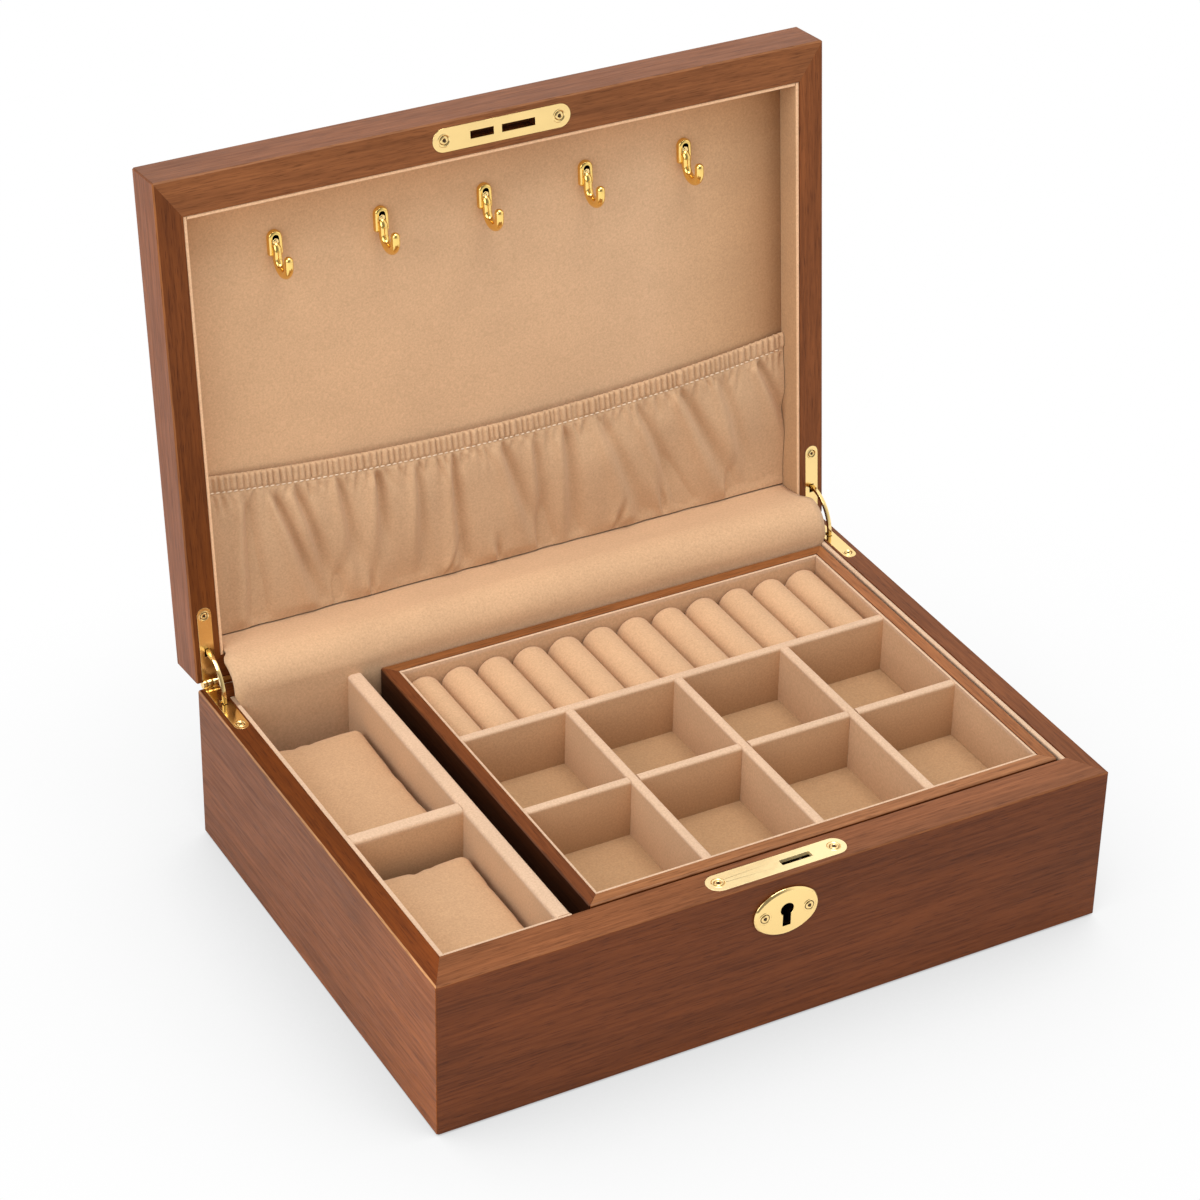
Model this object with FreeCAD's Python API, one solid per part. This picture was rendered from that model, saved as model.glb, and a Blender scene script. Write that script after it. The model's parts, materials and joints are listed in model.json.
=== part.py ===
import FreeCAD
import Part
import math
import os

from FreeCAD import Vector

# Wooden jewelry box with a lift-out tray, modelled with its lid open.
# Millimetres. The origin is the centre of the underside, +Z is up and the front faces -Y.

# Carcass
box_width = 290.0
box_depth = 212.0
base_height = 69.0
lid_height = 20.2
base_side_wall = 9.2
lid_side_wall = 11.0
front_wall = 15.5
back_wall = 10.0
edge_bevel = 0.6
rim_gap = 0.3

# Panels set into the carcass
felt_thick = 0.8
felt_inset = 1.5
floor_thick = 5.0
floor_border = 4.0
lid_top_thick = 5.0
lid_top_border = 3.0

# Linings
side_lining = 2.0
front_lining = 1.6
back_pad = 7.5
floor_lining = 1.5
lid_lining = 1.6
lid_board_thick = 2.2
lining_drop = 0.3
lining_round = 0.7

# Bays to the left of the tray
bay_width = 46.0
partition_thick = 6.3
bay_divider_thick = 6.0
rear_bay_length = 96.5
padded_round = 1.6

# Watch pillows
pillow_side_gap = 1.5
pillow_end_gap = 2.5
pillow_back_gap = 12.0
pillow_seat_gap = 0.3
pillow_drop = 15.0
pillow_crown = 3.0
pillow_side_bulge = 2.0
pillow_corner = 7.0
pillow_end_draw = 2.5
pillow_shoulder = 4.0

# Lift-out tray
finger_gap = 7.9
tray_side_gap = 0.9
tray_front_gap = 2.0
tray_back_gap = 0.6
tray_drop = 0.4
tray_height = 30.0
tray_wall = 5.4
tray_lining = 1.2
tray_floor_thick = 3.0
tray_floor_groove = 2.4
tray_bevel = 0.6
ledge_width = 6.0
cell_divider = 4.0
divider_round = 1.1
divider_drop = 0.6
divider_clear = 0.1
ring_row_length = 49.6
back_cell_length = 49.8
column_count = 4

# Ring rolls
ring_roll_count = 12
roll_gap = 0.4
roll_drop = 4.0

# Hinge line
hinge_back = 1.0
hinge_up = 0.9
open_angle = 95.3

# Hinge leaves, knuckles and pins
leaf_width = 6.0
leaf_thick = 1.6
leaf_length = 33.0
leaf_inset = 5.5
leaf_slot_length = 3.8
leaf_screw_back = 3.6
barrel_radius = 1.9
barrel_reach = 8.5
hinge_pin_radius = 0.9
pin_clear = 0.05
lid_knuckle_width = 2.2
knuckle_clear = 0.25
recess_clear = 0.05

# Stay arms
arm_radius = 15.0
arm_width = 1.4
arm_depth = 1.5
arm_head_length = 4.2
arm_head_radius = 1.3
arm_slot_clear = 0.3
arm_seat_clear = 0.05
mortise_clear = 0.4

# Lock
lock_plate_length = 60.0
lock_plate_width = 10.0
lock_plate_thick = 1.6
lock_screw_spacing = 50.0
lock_slot_length = 13.1
lock_slot_width = 3.2
lock_slot_x = 8.4
lock_case_width = 44.0
lock_case_thick = 7.0
lock_case_height = 27.0
lock_case_wall = 1.0
lock_case_clear = 0.1
bolt_pivot_x = 0.5
bolt_pivot_drop = 7.2
bolt_radius = 11.0
bolt_bar = 2.4
bolt_thick = 2.2
bolt_hub_radius = 3.4
bolt_post_radius = 1.5
bolt_tip_angle = 28.0
bolt_arc = 90.0

# Strike plate in the lid
strike_left_slot = (-13.7, -3.6)
strike_right_slot = (0.0, 14.4)
strike_pocket_depth = 5.6
strike_pocket_margin = 0.8

# Keyhole plate
keyhole_plate_width = 28.0
keyhole_plate_height = 21.0
keyhole_plate_thick = 1.5
keyhole_plate_bevel = 0.8
keyhole_plate_end_radius = 8.5
keyhole_plate_drop = 16.0
keyhole_rise = 1.2
keyhole_radius = 2.8
keyhole_slot_width = 3.5
keyhole_slot_length = 7.5
keyhole_screw_spacing = 19.2

# Necklace hooks
hook_count = 5
hook_pitch = 45.0
hook_row_shift = -3.0
hook_top_setback = 33.8
hook_plate_width = 6.0
hook_plate_length = 10.4
hook_plate_thick = 2.2
hook_screw_back = 4.4
hook_bar_radius = 1.85
hook_bar_sides = 8
hook_bar_stand = 0.4
hook_tip_share = 0.55
hook_bend_radius = 5.3
hook_arm_start = 6.2
hook_arm_length = 4.2
hook_return = 1.8

# Gathered pocket in the lid
pocket_thick = 1.2
pocket_side_gap = 0.3
pocket_foot_back = 2.6
pocket_height = 70.4
pocket_droop = 8.0
pocket_foot_gap = 0.3
pocket_bulge = 3.4
pocket_mouth = 2.4
pocket_folds = 9
pocket_fold_depth = 0.9
pocket_end_share = 0.45

# Padded roll over the hinge line
roll_radius = 12.5
roll_centre_rise = 3.0
roll_fall_angle = 8.6
roll_thick = 1.6
roll_end_gap = 0.4
roll_wall_gap = 0.2
roll_panel_gap = 0.4

# Screw holes in the brass
countersink_radius = 2.1
hole_radius = 1.1

# Places worked out from the sizes above
half_width = box_width / 2
half_depth = box_depth / 2
box_plan = (-half_width, half_width, -half_depth, half_depth)
base_front_face = -half_depth + front_wall
base_back_face = half_depth - back_wall
base_side_face = half_width - base_side_wall
lid_side_face = half_width - lid_side_wall
floor_top = felt_thick + floor_thick
bay_floor = floor_top + floor_lining
lining_top = base_height - lining_drop
lining_left = -base_side_face + side_lining
lining_right = base_side_face - side_lining
back_pad_face = base_back_face - back_pad

partition_left = lining_left + bay_width
partition_right = partition_left + partition_thick
bay_front = base_front_face + front_lining
divider_back = back_pad_face - rear_bay_length
divider_front = divider_back - bay_divider_thick

tray_left = partition_right + finger_gap
tray_right = lining_right - tray_side_gap
tray_front = base_front_face + tray_front_gap
tray_back = back_pad_face - tray_back_gap
tray_top = base_height - tray_drop
tray_bottom = tray_top - tray_height
tray_skin = tray_wall + tray_lining
cell_left = tray_left + tray_skin
cell_right = tray_right - tray_skin
cell_front = tray_front + tray_skin
cell_back = tray_back - tray_skin
tray_floor_top = tray_bottom + tray_floor_thick
cell_floor = tray_floor_top + tray_lining
divider_top = tray_top - divider_drop
ring_divider_back = cell_back - ring_row_length
ring_divider_front = ring_divider_back - cell_divider
row_divider_back = ring_divider_front - back_cell_length
row_divider_front = row_divider_back - cell_divider
column_width = (cell_right - cell_left - (column_count - 1) * cell_divider) / column_count

hinge_y = half_depth + hinge_back
hinge_z = base_height + hinge_up
leaf_x = half_width - leaf_inset
leaf_front = half_depth - leaf_length
lid_rim = base_height + rim_gap
lid_crown = lid_rim + lid_height
lid_panel_top = lid_crown - lid_top_thick
lid_panel = lid_panel_top - lid_board_thick
lid_lining_rim = lid_rim + lining_drop

lock_y = -half_depth + front_wall / 2
lock_plate_under = base_height - lock_plate_thick
keyhole_z = base_height - keyhole_plate_drop
bolt_pivot_z = base_height - bolt_pivot_drop

arm_low_angle = math.degrees(math.asin(
    (hinge_up + leaf_thick + arm_head_radius + arm_seat_clear) / arm_radius))
arm_high_angle = open_angle + math.degrees(math.asin(
    (rim_gap + leaf_thick - hinge_up + arm_head_radius + arm_seat_clear) / arm_radius))
arm_sunk_low = arm_low_angle + open_angle / 2
arm_sunk_high = arm_high_angle - open_angle / 2

X_AXIS = Vector(1, 0, 0)
Y_AXIS = Vector(0, 1, 0)
Z_AXIS = Vector(0, 0, 1)
DOWN = Vector(0, 0, -1)
SIDES = (("left", -1), ("right", 1))

parts = {}


def block(x0, x1, y0, y1, z0, z1):
    return Part.makeBox(x1 - x0, y1 - y0, z1 - z0, Vector(x0, y0, z0))


def prism(points, z0, z1):
    corners = [Vector(x, y, z0) for x, y in points]
    outline = Part.makePolygon(corners + corners[:1])
    return Part.Face(outline).extrude(Vector(0, 0, z1 - z0))


def cut_all(solid, tools):
    for tool in tools:
        solid = solid.cut(tool)
    return solid


def join(solids):
    return solids[0].fuse(solids[1:]).removeSplitter()


def round_top(solid, radius, top):
    """Round the level edges of a board's top that run along its length."""
    box = solid.BoundBox
    lengthwise = X_AXIS if box.XLength > box.YLength else Y_AXIS
    edges = []
    for edge in solid.Edges:
        line = edge.Vertexes[1].Point - edge.Vertexes[0].Point
        level = abs(edge.BoundBox.ZMin - top) < radius and edge.BoundBox.ZLength < radius
        if level and abs(line.dot(lengthwise)) > line.Length / 2:
            edges.append(edge)
    return solid.makeFillet(radius, edges)


def stadium(x0, x1, y, width, z0, z1):
    """A plate with half-round ends, lying along X."""
    radius = width / 2
    left = x0 + radius
    right = x1 - radius
    outline = Part.Wire([
        Part.LineSegment(Vector(left, y - radius, z0), Vector(right, y - radius, z0)).toShape(),
        Part.Arc(Vector(right, y - radius, z0), Vector(x1, y, z0), Vector(right, y + radius, z0)).toShape(),
        Part.LineSegment(Vector(right, y + radius, z0), Vector(left, y + radius, z0)).toShape(),
        Part.Arc(Vector(left, y + radius, z0), Vector(x0, y, z0), Vector(left, y - radius, z0)).toShape(),
    ])
    return Part.Face(outline).extrude(Vector(0, 0, z1 - z0))


def countersunk(place, along, depth):
    """The tool for a countersunk hole that starts at place and runs along a direction."""
    cone_depth = countersink_radius - hole_radius
    cone = Part.makeCone(countersink_radius, hole_radius, cone_depth, place, along)
    return cone.fuse(Part.makeCylinder(hole_radius, depth, place, along))


def opened(solid):
    """Turn a solid from the closed lid to the open one."""
    turned = solid.copy()
    turned.rotate(Vector(0, hinge_y, hinge_z), X_AXIS, -open_angle)
    return turned


def mitred_walls(envelope, outer, inner, z0, z1):
    """Four boards between two plans, each (x0, x1, y0, y1), that meet in mitres inside an envelope."""
    rings = []
    for x0, x1, y0, y1 in (outer, inner):
        rings.append([(x0, y0), (x1, y0), (x1, y1), (x0, y1)])
    walls = {}
    for index, name in enumerate(("front", "right", "back", "left")):
        after = (index + 1) % len(rings[0])
        plan = [rings[0][index], rings[0][after], rings[1][after], rings[1][index]]
        walls[name] = prism(plan, z0, z1).common(envelope)
    return walls


def leaf_plan(width, front, z0, z1):
    """A hinge leaf's outline about X = 0, round at the front and running back to the hinge line."""
    radius = width / 2
    outline = Part.Wire([
        Part.LineSegment(Vector(-radius, hinge_y, z0), Vector(-radius, front + radius, z0)).toShape(),
        Part.Arc(Vector(-radius, front + radius, z0), Vector(0, front, z0),
                 Vector(radius, front + radius, z0)).toShape(),
        Part.LineSegment(Vector(radius, front + radius, z0), Vector(radius, hinge_y, z0)).toShape(),
        Part.LineSegment(Vector(radius, hinge_y, z0), Vector(-radius, hinge_y, z0)).toShape(),
    ])
    return Part.Face(outline).extrude(Vector(0, 0, z1 - z0))


def on_hinge_line(radius, x0, x1):
    return Part.makeCylinder(radius, x1 - x0, Vector(x0, hinge_y, hinge_z), X_AXIS)


def arm_slot(width, z0, z1):
    """The way through a leaf for the stay arm, about X = 0."""
    front = hinge_y - arm_radius - arm_depth / 2 - arm_slot_clear
    return block(-width / 2, width / 2, front, front + leaf_slot_length, z0, z1)


def arm_mortise(z0, z1, sunk_angle):
    """The pocket in the wood that the stay arm sinks into, about X = 0."""
    half = arm_head_length / 2 + mortise_clear
    reach = arm_head_radius + mortise_clear
    front = hinge_y - arm_radius - reach
    back = hinge_y - arm_radius * math.cos(math.radians(sunk_angle)) + reach
    return block(-half, half, front, back, z0, z1)


def at_hinge(solid, sign):
    """Put a solid made about X = 0 for the right hinge at one of the hinges, as its mirror on the left."""
    moved = solid.copy() if sign > 0 else solid.mirror(Vector(0, 0, 0), X_AXIS)
    moved.translate(Vector(sign * leaf_x, 0, 0))
    return moved


def hinge_cuts(sign, leaf_z, mortise_z, sunk_angle):
    """Everything that one half of a hinge takes out of the wood."""
    plan = leaf_plan(leaf_width + 2 * recess_clear, leaf_front - recess_clear, *leaf_z)
    relief = on_hinge_line(barrel_radius + knuckle_clear, -leaf_width / 2 - barrel_reach - recess_clear,
                           leaf_width / 2 + recess_clear)
    mortise = arm_mortise(*mortise_z, sunk_angle)
    return [at_hinge(tool, sign) for tool in (plan, relief, mortise)]


def lock_plate_outline(z0, z1, clear):
    half = lock_plate_length / 2 + clear
    return stadium(-half, half, lock_y, lock_plate_width + 2 * clear, z0, z1)


def lock_screw_places(z):
    return [Vector(sign * lock_screw_spacing / 2, lock_y, z) for side, sign in SIDES]


def keyhole(y0, y1):
    """A round hole with a slot below it, cut from front to back."""
    centre = keyhole_z + keyhole_rise
    bow = Part.makeCylinder(keyhole_radius, y1 - y0, Vector(0, y0, centre), Y_AXIS)
    half = keyhole_slot_width / 2
    slot = block(-half, half, y0, y1, centre - keyhole_slot_length, centre)
    return bow.fuse(slot)


def make_base_carcass():
    body = block(*box_plan, felt_thick, base_height)
    soft = [edge for edge in body.Edges if edge.BoundBox.ZMax > felt_thick + edge_bevel]
    inside = (-base_side_face, base_side_face, base_front_face, base_back_face)
    walls = mitred_walls(body.makeChamfer(edge_bevel, soft), box_plan, inside, felt_thick, base_height)
    floor = block(-half_width + floor_border, half_width - floor_border,
                  -half_depth + floor_border, half_depth - floor_border, felt_thick, floor_top)
    leaf_z = (base_height - leaf_thick, base_height + edge_bevel)
    deepest = (hinge_z - arm_radius * math.sin(math.radians(arm_sunk_low))
               - arm_head_radius - mortise_clear)
    cuts = {name: [floor] for name in walls}
    for side, sign in SIDES:
        tools = hinge_cuts(sign, leaf_z, (deepest, base_height), arm_sunk_low)
        cuts[side] += tools
        cuts["back"] += tools
    half = lock_case_width / 2 + lock_case_clear
    thick = lock_case_thick / 2 + lock_case_clear
    bottom = lock_plate_under - lock_case_height - lock_case_clear
    cuts["front"].append(lock_plate_outline(lock_plate_under, base_height + edge_bevel, recess_clear))
    cuts["front"].append(block(-half, half, lock_y - thick, lock_y + thick, bottom, base_height))
    cuts["front"].append(keyhole(-half_depth - keyhole_plate_thick, lock_y))
    for name, wall in walls.items():
        parts["base_" + name] = cut_all(wall, cuts[name])
    parts["base_floor"] = floor
    parts["base_felt"] = block(-half_width + felt_inset, half_width - felt_inset,
                               -half_depth + felt_inset, half_depth - felt_inset, 0, felt_thick)


def make_base_linings():
    parts["lining_floor"] = block(-base_side_face, base_side_face, base_front_face, base_back_face,
                                  floor_top, bay_floor)
    parts["lining_left"] = block(-base_side_face, lining_left, base_front_face, base_back_face,
                                 bay_floor, lining_top)
    right = block(lining_right, base_side_face, base_front_face, base_back_face, bay_floor, lining_top)
    parts["lining_right"] = round_top(right, lining_round, lining_top)
    parts["lining_front"] = block(lining_left, partition_right, base_front_face, bay_front,
                                  bay_floor, lining_top)
    parts["lining_back"] = block(lining_left, lining_right, back_pad_face, base_back_face,
                                 bay_floor, lining_top)
    partition = block(partition_left, partition_right, bay_front, back_pad_face, bay_floor, lining_top)
    parts["bay_partition"] = round_top(partition, padded_round, lining_top)
    divider = block(lining_left, partition_left, divider_front, divider_back, bay_floor, lining_top)
    parts["bay_divider"] = round_top(divider, padded_round, lining_top)
    parts["tray_ledge_front"] = block(partition_right, lining_right, base_front_face,
                                      base_front_face + ledge_width, bay_floor, tray_bottom)
    parts["tray_ledge_back"] = block(partition_right, lining_right, back_pad_face - ledge_width,
                                     back_pad_face, bay_floor, tray_bottom)


def pillow_section(x, y0, y1, z0, z1, draw):
    """One cut across a watch pillow: flat seat, full sides and a crowned top, drawn in by draw."""
    front = y0 + draw
    back = y1 - draw
    top = z1 - draw
    radius = pillow_corner - draw
    high = top - radius
    middle_y = (front + back) / 2
    middle_z = (z0 + high) / 2
    bulge = pillow_side_bulge * (1 - draw / pillow_corner)
    slack = radius * (1 - math.sqrt(0.5))
    seat_front = Vector(x, front, z0)
    seat_back = Vector(x, back, z0)
    back_high = Vector(x, back, high)
    top_back = Vector(x, back - radius, top)
    top_front = Vector(x, front + radius, top)
    front_high = Vector(x, front, high)
    return Part.Wire([
        Part.LineSegment(seat_front, seat_back).toShape(),
        Part.Arc(seat_back, Vector(x, back + bulge, middle_z), back_high).toShape(),
        Part.Arc(back_high, Vector(x, back - slack, top - slack), top_back).toShape(),
        Part.Arc(top_back, Vector(x, middle_y, top + pillow_crown), top_front).toShape(),
        Part.Arc(top_front, Vector(x, front + slack, top - slack), front_high).toShape(),
        Part.Arc(front_high, Vector(x, front - bulge, middle_z), seat_front).toShape(),
    ])


def make_pillow(name, y0, y1):
    x0 = lining_left + pillow_side_gap
    x1 = partition_left - pillow_side_gap
    z0 = bay_floor + pillow_seat_gap
    z1 = base_height - pillow_drop
    stations = [
        (x0, pillow_end_draw),
        (x0 + pillow_shoulder, 0.0),
        (x1 - pillow_shoulder, 0.0),
        (x1, pillow_end_draw),
    ]
    sections = [pillow_section(x, y0, y1, z0, z1, draw) for x, draw in stations]
    parts[name] = Part.makeLoft(sections, True, True)


def make_pillows():
    swell = pillow_end_gap + pillow_side_bulge
    make_pillow("watch_pillow_rear", divider_back + swell, back_pad_face - pillow_back_gap)
    make_pillow("watch_pillow_front", bay_front + swell, divider_front - swell)


def make_tray():
    outer = (tray_left, tray_right, tray_front, tray_back)
    inner = (tray_left + tray_wall, tray_right - tray_wall, tray_front + tray_wall, tray_back - tray_wall)
    groove = tray_wall - tray_floor_groove
    floor = block(tray_left + groove, tray_right - groove, tray_front + groove, tray_back - groove,
                  tray_bottom, tray_floor_top)
    body = block(*outer, tray_bottom, tray_top)
    walls = mitred_walls(body.makeChamfer(tray_bevel, body.Edges), outer, inner, tray_bottom, tray_top)
    for name, wall in walls.items():
        parts["tray_" + name] = wall.cut(floor)
    parts["tray_floor"] = floor
    make_tray_linings(*inner, tray_top - lining_drop)


def make_tray_linings(left, right, front, back, top):
    parts["tray_lining"] = Part.makeCompound([
        block(left, right, front, back, tray_floor_top, cell_floor),
        block(left, right, front, cell_front, cell_floor, top),
        block(left, right, cell_back, back, cell_floor, top),
        block(left, cell_left, cell_front, cell_back, cell_floor, top),
        block(cell_right, right, cell_front, cell_back, cell_floor, top),
    ])


def make_tray_dividers():
    ring = block(cell_left, cell_right, ring_divider_front, ring_divider_back, cell_floor, divider_top)
    parts["ring_divider"] = round_top(ring, divider_round, divider_top)
    row = block(cell_left, cell_right, row_divider_front, row_divider_back, cell_floor, divider_top)
    row = round_top(row, divider_round, divider_top)
    half_way = (cell_floor + divider_top) / 2
    columns = []
    for index in range(1, column_count):
        x1 = cell_left + index * (column_width + cell_divider)
        x0 = x1 - cell_divider
        column = block(x0, x1, cell_front, ring_divider_front, cell_floor, divider_top)
        column = round_top(column, divider_round, divider_top)
        notch = block(x0, x1, row_divider_front - divider_clear, row_divider_back + divider_clear,
                      cell_floor, half_way)
        columns.append(column.cut(notch))
        row = row.cut(block(x0 - divider_clear, x1 + divider_clear, row_divider_front, row_divider_back,
                            half_way, divider_top))
    parts["row_divider"] = row
    parts["column_dividers"] = Part.makeCompound(columns)


def make_ring_rolls():
    pitch = (cell_right - cell_left) / ring_roll_count
    radius = (pitch - roll_gap) / 2
    lean = radius * math.sqrt(0.5)
    y = ring_divider_back + roll_gap
    length = cell_back - roll_gap - y
    spring = tray_top - roll_drop - radius
    rolls = []
    for index in range(ring_roll_count):
        x = cell_left + (index + 1 / 2) * pitch
        foot_left = Vector(x - radius, y, cell_floor)
        foot_right = Vector(x + radius, y, cell_floor)
        right = Vector(x + radius, y, spring)
        crown = Vector(x, y, spring + radius)
        left = Vector(x - radius, y, spring)
        outline = Part.Wire([
            Part.LineSegment(foot_left, foot_right).toShape(),
            Part.LineSegment(foot_right, right).toShape(),
            Part.Arc(right, Vector(x + lean, y, spring + lean), crown).toShape(),
            Part.Arc(crown, Vector(x - lean, y, spring + lean), left).toShape(),
            Part.LineSegment(left, foot_left).toShape(),
        ])
        rolls.append(Part.Face(outline).extrude(Vector(0, length, 0)))
    parts["ring_rolls"] = Part.makeCompound(rolls)


def make_lid_carcass():
    body = block(*box_plan, lid_rim, lid_crown)
    inside = (-lid_side_face, lid_side_face, base_front_face, base_back_face)
    walls = mitred_walls(body.makeChamfer(edge_bevel, body.Edges), box_plan, inside, lid_rim, lid_crown)
    top = block(-half_width + lid_top_border, half_width - lid_top_border,
                -half_depth + lid_top_border, half_depth - lid_top_border, lid_panel_top, lid_crown)
    leaf_z = (lid_rim - edge_bevel, lid_rim + leaf_thick)
    highest = (hinge_z + arm_radius * math.sin(math.radians(arm_sunk_high))
               + arm_head_radius + mortise_clear)
    cuts = {name: [top] for name in walls}
    for side, sign in SIDES:
        tools = hinge_cuts(sign, leaf_z, (lid_rim, highest), arm_sunk_high)
        cuts[side] += tools
        cuts["back"] += tools
    strike_top = lid_rim + lock_plate_thick
    half = lock_slot_width / 2 + strike_pocket_margin
    cuts["front"].append(lock_plate_outline(lid_rim - edge_bevel, strike_top, recess_clear))
    cuts["front"].append(block(strike_left_slot[0] - strike_pocket_margin,
                               strike_right_slot[1] + strike_pocket_margin,
                               lock_y - half, lock_y + half, lid_rim, strike_top + strike_pocket_depth))
    for name, wall in walls.items():
        parts["lid_" + name] = opened(cut_all(wall, cuts[name]))
    board = block(-lid_side_face, lid_side_face, base_front_face, base_back_face, lid_panel, lid_panel_top)
    parts["lid_top"] = opened(top)
    parts["lid_board"] = opened(board)


def make_lid_linings():
    front = block(-lid_side_face + lid_lining, lid_side_face - lid_lining,
                  base_front_face, base_front_face + lid_lining, lid_lining_rim, lid_panel)
    parts["lid_lining_front"] = opened(front)
    for side, sign in SIDES:
        faces = sorted([sign * lid_side_face, sign * (lid_side_face - lid_lining)])
        board = block(faces[0], faces[1], base_front_face, base_back_face, lid_lining_rim, lid_panel)
        parts["lid_lining_" + side] = opened(board)


def pocket_station(index):
    """One cut down the pocket, from its foot at the back of the lid to its gathered mouth."""
    spans = 2 * pocket_folds
    half = lid_side_face - lid_lining - pocket_side_gap
    share = 2 * index / spans - 1
    x = half * share
    fullness = pocket_end_share + (1 - pocket_end_share) * (1 - share * share)
    fold = pocket_fold_depth * (-1) ** index * fullness
    foot_y = base_back_face - pocket_foot_back
    mouth_y = foot_y - pocket_height + pocket_droop * (1 - share * share)
    middle_y = (foot_y + mouth_y) / 2
    lines = []
    for depth in (0.0, pocket_thick):
        foot = Vector(x, foot_y, lid_panel - pocket_foot_gap - depth)
        middle = Vector(x, middle_y, lid_panel - pocket_bulge * fullness - fold - depth)
        mouth = Vector(x, mouth_y, lid_panel - pocket_mouth * fullness - depth)
        lines.append((foot, middle, mouth))
    back, face = lines
    return Part.Wire([
        Part.Arc(*back).toShape(),
        Part.LineSegment(back[2], face[2]).toShape(),
        Part.Arc(face[2], face[1], face[0]).toShape(),
        Part.LineSegment(face[0], back[0]).toShape(),
    ])


def make_pocket():
    stations = [pocket_station(index) for index in range(2 * pocket_folds + 1)]
    parts["lid_pocket"] = opened(Part.makeLoft(stations, True, True))


def make_hinge_roll():
    """A padded sheet that rises from the back lining, rounds over and runs to the lid's board."""
    front = back_pad_face
    centre_y = front + roll_radius
    centre_z = base_height + roll_centre_rise
    fall = math.radians(roll_fall_angle)
    half = base_side_face - roll_wall_gap
    inner_half = lid_side_face - lid_lining - roll_end_gap
    middle = (3 * math.pi / 2 - fall) / 2
    closed_foot = Vector(0, base_back_face, lid_panel)
    open_foot = opened(Part.Vertex(closed_foot)).Point
    end_y = open_foot.y - roll_panel_gap
    lines = []
    for radius in (roll_radius, roll_radius - roll_thick):
        start = Vector(-half, centre_y - radius, centre_z)
        along = Vector(-half, centre_y + radius * math.cos(middle), centre_z + radius * math.sin(middle))
        finish = Vector(-half, centre_y + radius * math.sin(fall), centre_z + radius * math.cos(fall))
        foot = Vector(-half, centre_y - radius, lining_top)
        end = Vector(-half, end_y, finish.z - (end_y - finish.y) * math.tan(fall))
        lines.append((foot, start, along, finish, end))
    outer, inner = lines
    outline = Part.Wire([
        Part.LineSegment(outer[0], outer[1]).toShape(),
        Part.Arc(outer[1], outer[2], outer[3]).toShape(),
        Part.LineSegment(outer[3], outer[4]).toShape(),
        Part.LineSegment(outer[4], inner[4]).toShape(),
        Part.LineSegment(inner[4], inner[3]).toShape(),
        Part.Arc(inner[3], inner[2], inner[1]).toShape(),
        Part.LineSegment(inner[1], inner[0]).toShape(),
        Part.LineSegment(inner[0], outer[0]).toShape(),
    ])
    roll = Part.Face(outline).extrude(Vector(2 * half, 0, 0))
    rim_y = opened(Part.Vertex(Vector(0, half_depth, lid_rim))).Point.y - roll_wall_gap
    in_front = block(-half, half, front, rim_y, lining_top, centre_z + roll_radius)
    in_lid = block(-inner_half, inner_half, rim_y, end_y, lining_top, centre_z + roll_radius)
    parts["hinge_roll"] = join([roll.common(in_front), roll.common(in_lid)])


def make_leaf(z0, z1, own_knuckles, other_knuckles, screw_face, screw_along):
    """A hinge leaf about X = 0 with its knuckles, arm slot and screw hole."""
    plate = leaf_plan(leaf_width, leaf_front, z0, z1)
    for x0, x1 in other_knuckles:
        plate = plate.cut(on_hinge_line(barrel_radius + knuckle_clear, x0, x1))
    leaf = join([plate] + [on_hinge_line(barrel_radius, x0, x1) for x0, x1 in own_knuckles])
    place = Vector(0, leaf_front + leaf_screw_back, screw_face)
    return cut_all(leaf, [
        on_hinge_line(hinge_pin_radius + pin_clear, -leaf_width / 2 - barrel_reach, leaf_width / 2),
        arm_slot(arm_width + 2 * arm_slot_clear, z0, z1),
        countersunk(place, screw_along, leaf_thick),
    ])


def make_hinges():
    inner = lid_knuckle_width / 2
    outer = leaf_width / 2
    gap = knuckle_clear
    lid_knuckles = [(-inner, inner)]
    far = outer + barrel_reach
    base_knuckles = [(-far, -inner - gap), (inner + gap, outer)]
    lid_room = [(-inner - gap, inner + gap)]
    base_room = [(-outer - gap, -inner), (inner, outer + gap)]
    base_leaf = make_leaf(base_height - leaf_thick, base_height, base_knuckles, lid_room, base_height, DOWN)
    lid_leaf = make_leaf(lid_rim, lid_rim + leaf_thick, lid_knuckles, base_room, lid_rim, Z_AXIS)
    pin = on_hinge_line(hinge_pin_radius, -far, outer)
    arm = make_arm()
    for side, sign in SIDES:
        parts["hinge_base_leaf_" + side] = at_hinge(base_leaf, sign)
        parts["hinge_lid_leaf_" + side] = at_hinge(opened(lid_leaf), sign)
        parts["hinge_arm_" + side] = at_hinge(arm, sign)
    parts["hinge_pins"] = Part.makeCompound([at_hinge(pin, sign) for side, sign in SIDES])


def make_arm():
    """A stay arm about X = 0: an arc round the hinge line with a cross head at each end."""
    half = arm_width / 2
    y0 = hinge_y - arm_radius - arm_depth / 2
    y1 = y0 + arm_depth
    corners = [Vector(-half, y0, hinge_z), Vector(half, y0, hinge_z),
               Vector(half, y1, hinge_z), Vector(-half, y1, hinge_z)]
    section = Part.Face(Part.makePolygon(corners + corners[:1]))
    centre = Vector(0, hinge_y, hinge_z)
    section.rotate(centre, X_AXIS, arm_low_angle)
    arc = section.revolve(centre, X_AXIS, -arm_low_angle - arm_high_angle)
    heads = []
    for angle in (-arm_low_angle, arm_high_angle):
        turn = math.radians(angle)
        place = Vector(-arm_head_length / 2, hinge_y - arm_radius * math.cos(turn),
                       hinge_z + arm_radius * math.sin(turn))
        heads.append(Part.makeCylinder(arm_head_radius, arm_head_length, place, X_AXIS))
    return join([arc] + heads)


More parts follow.
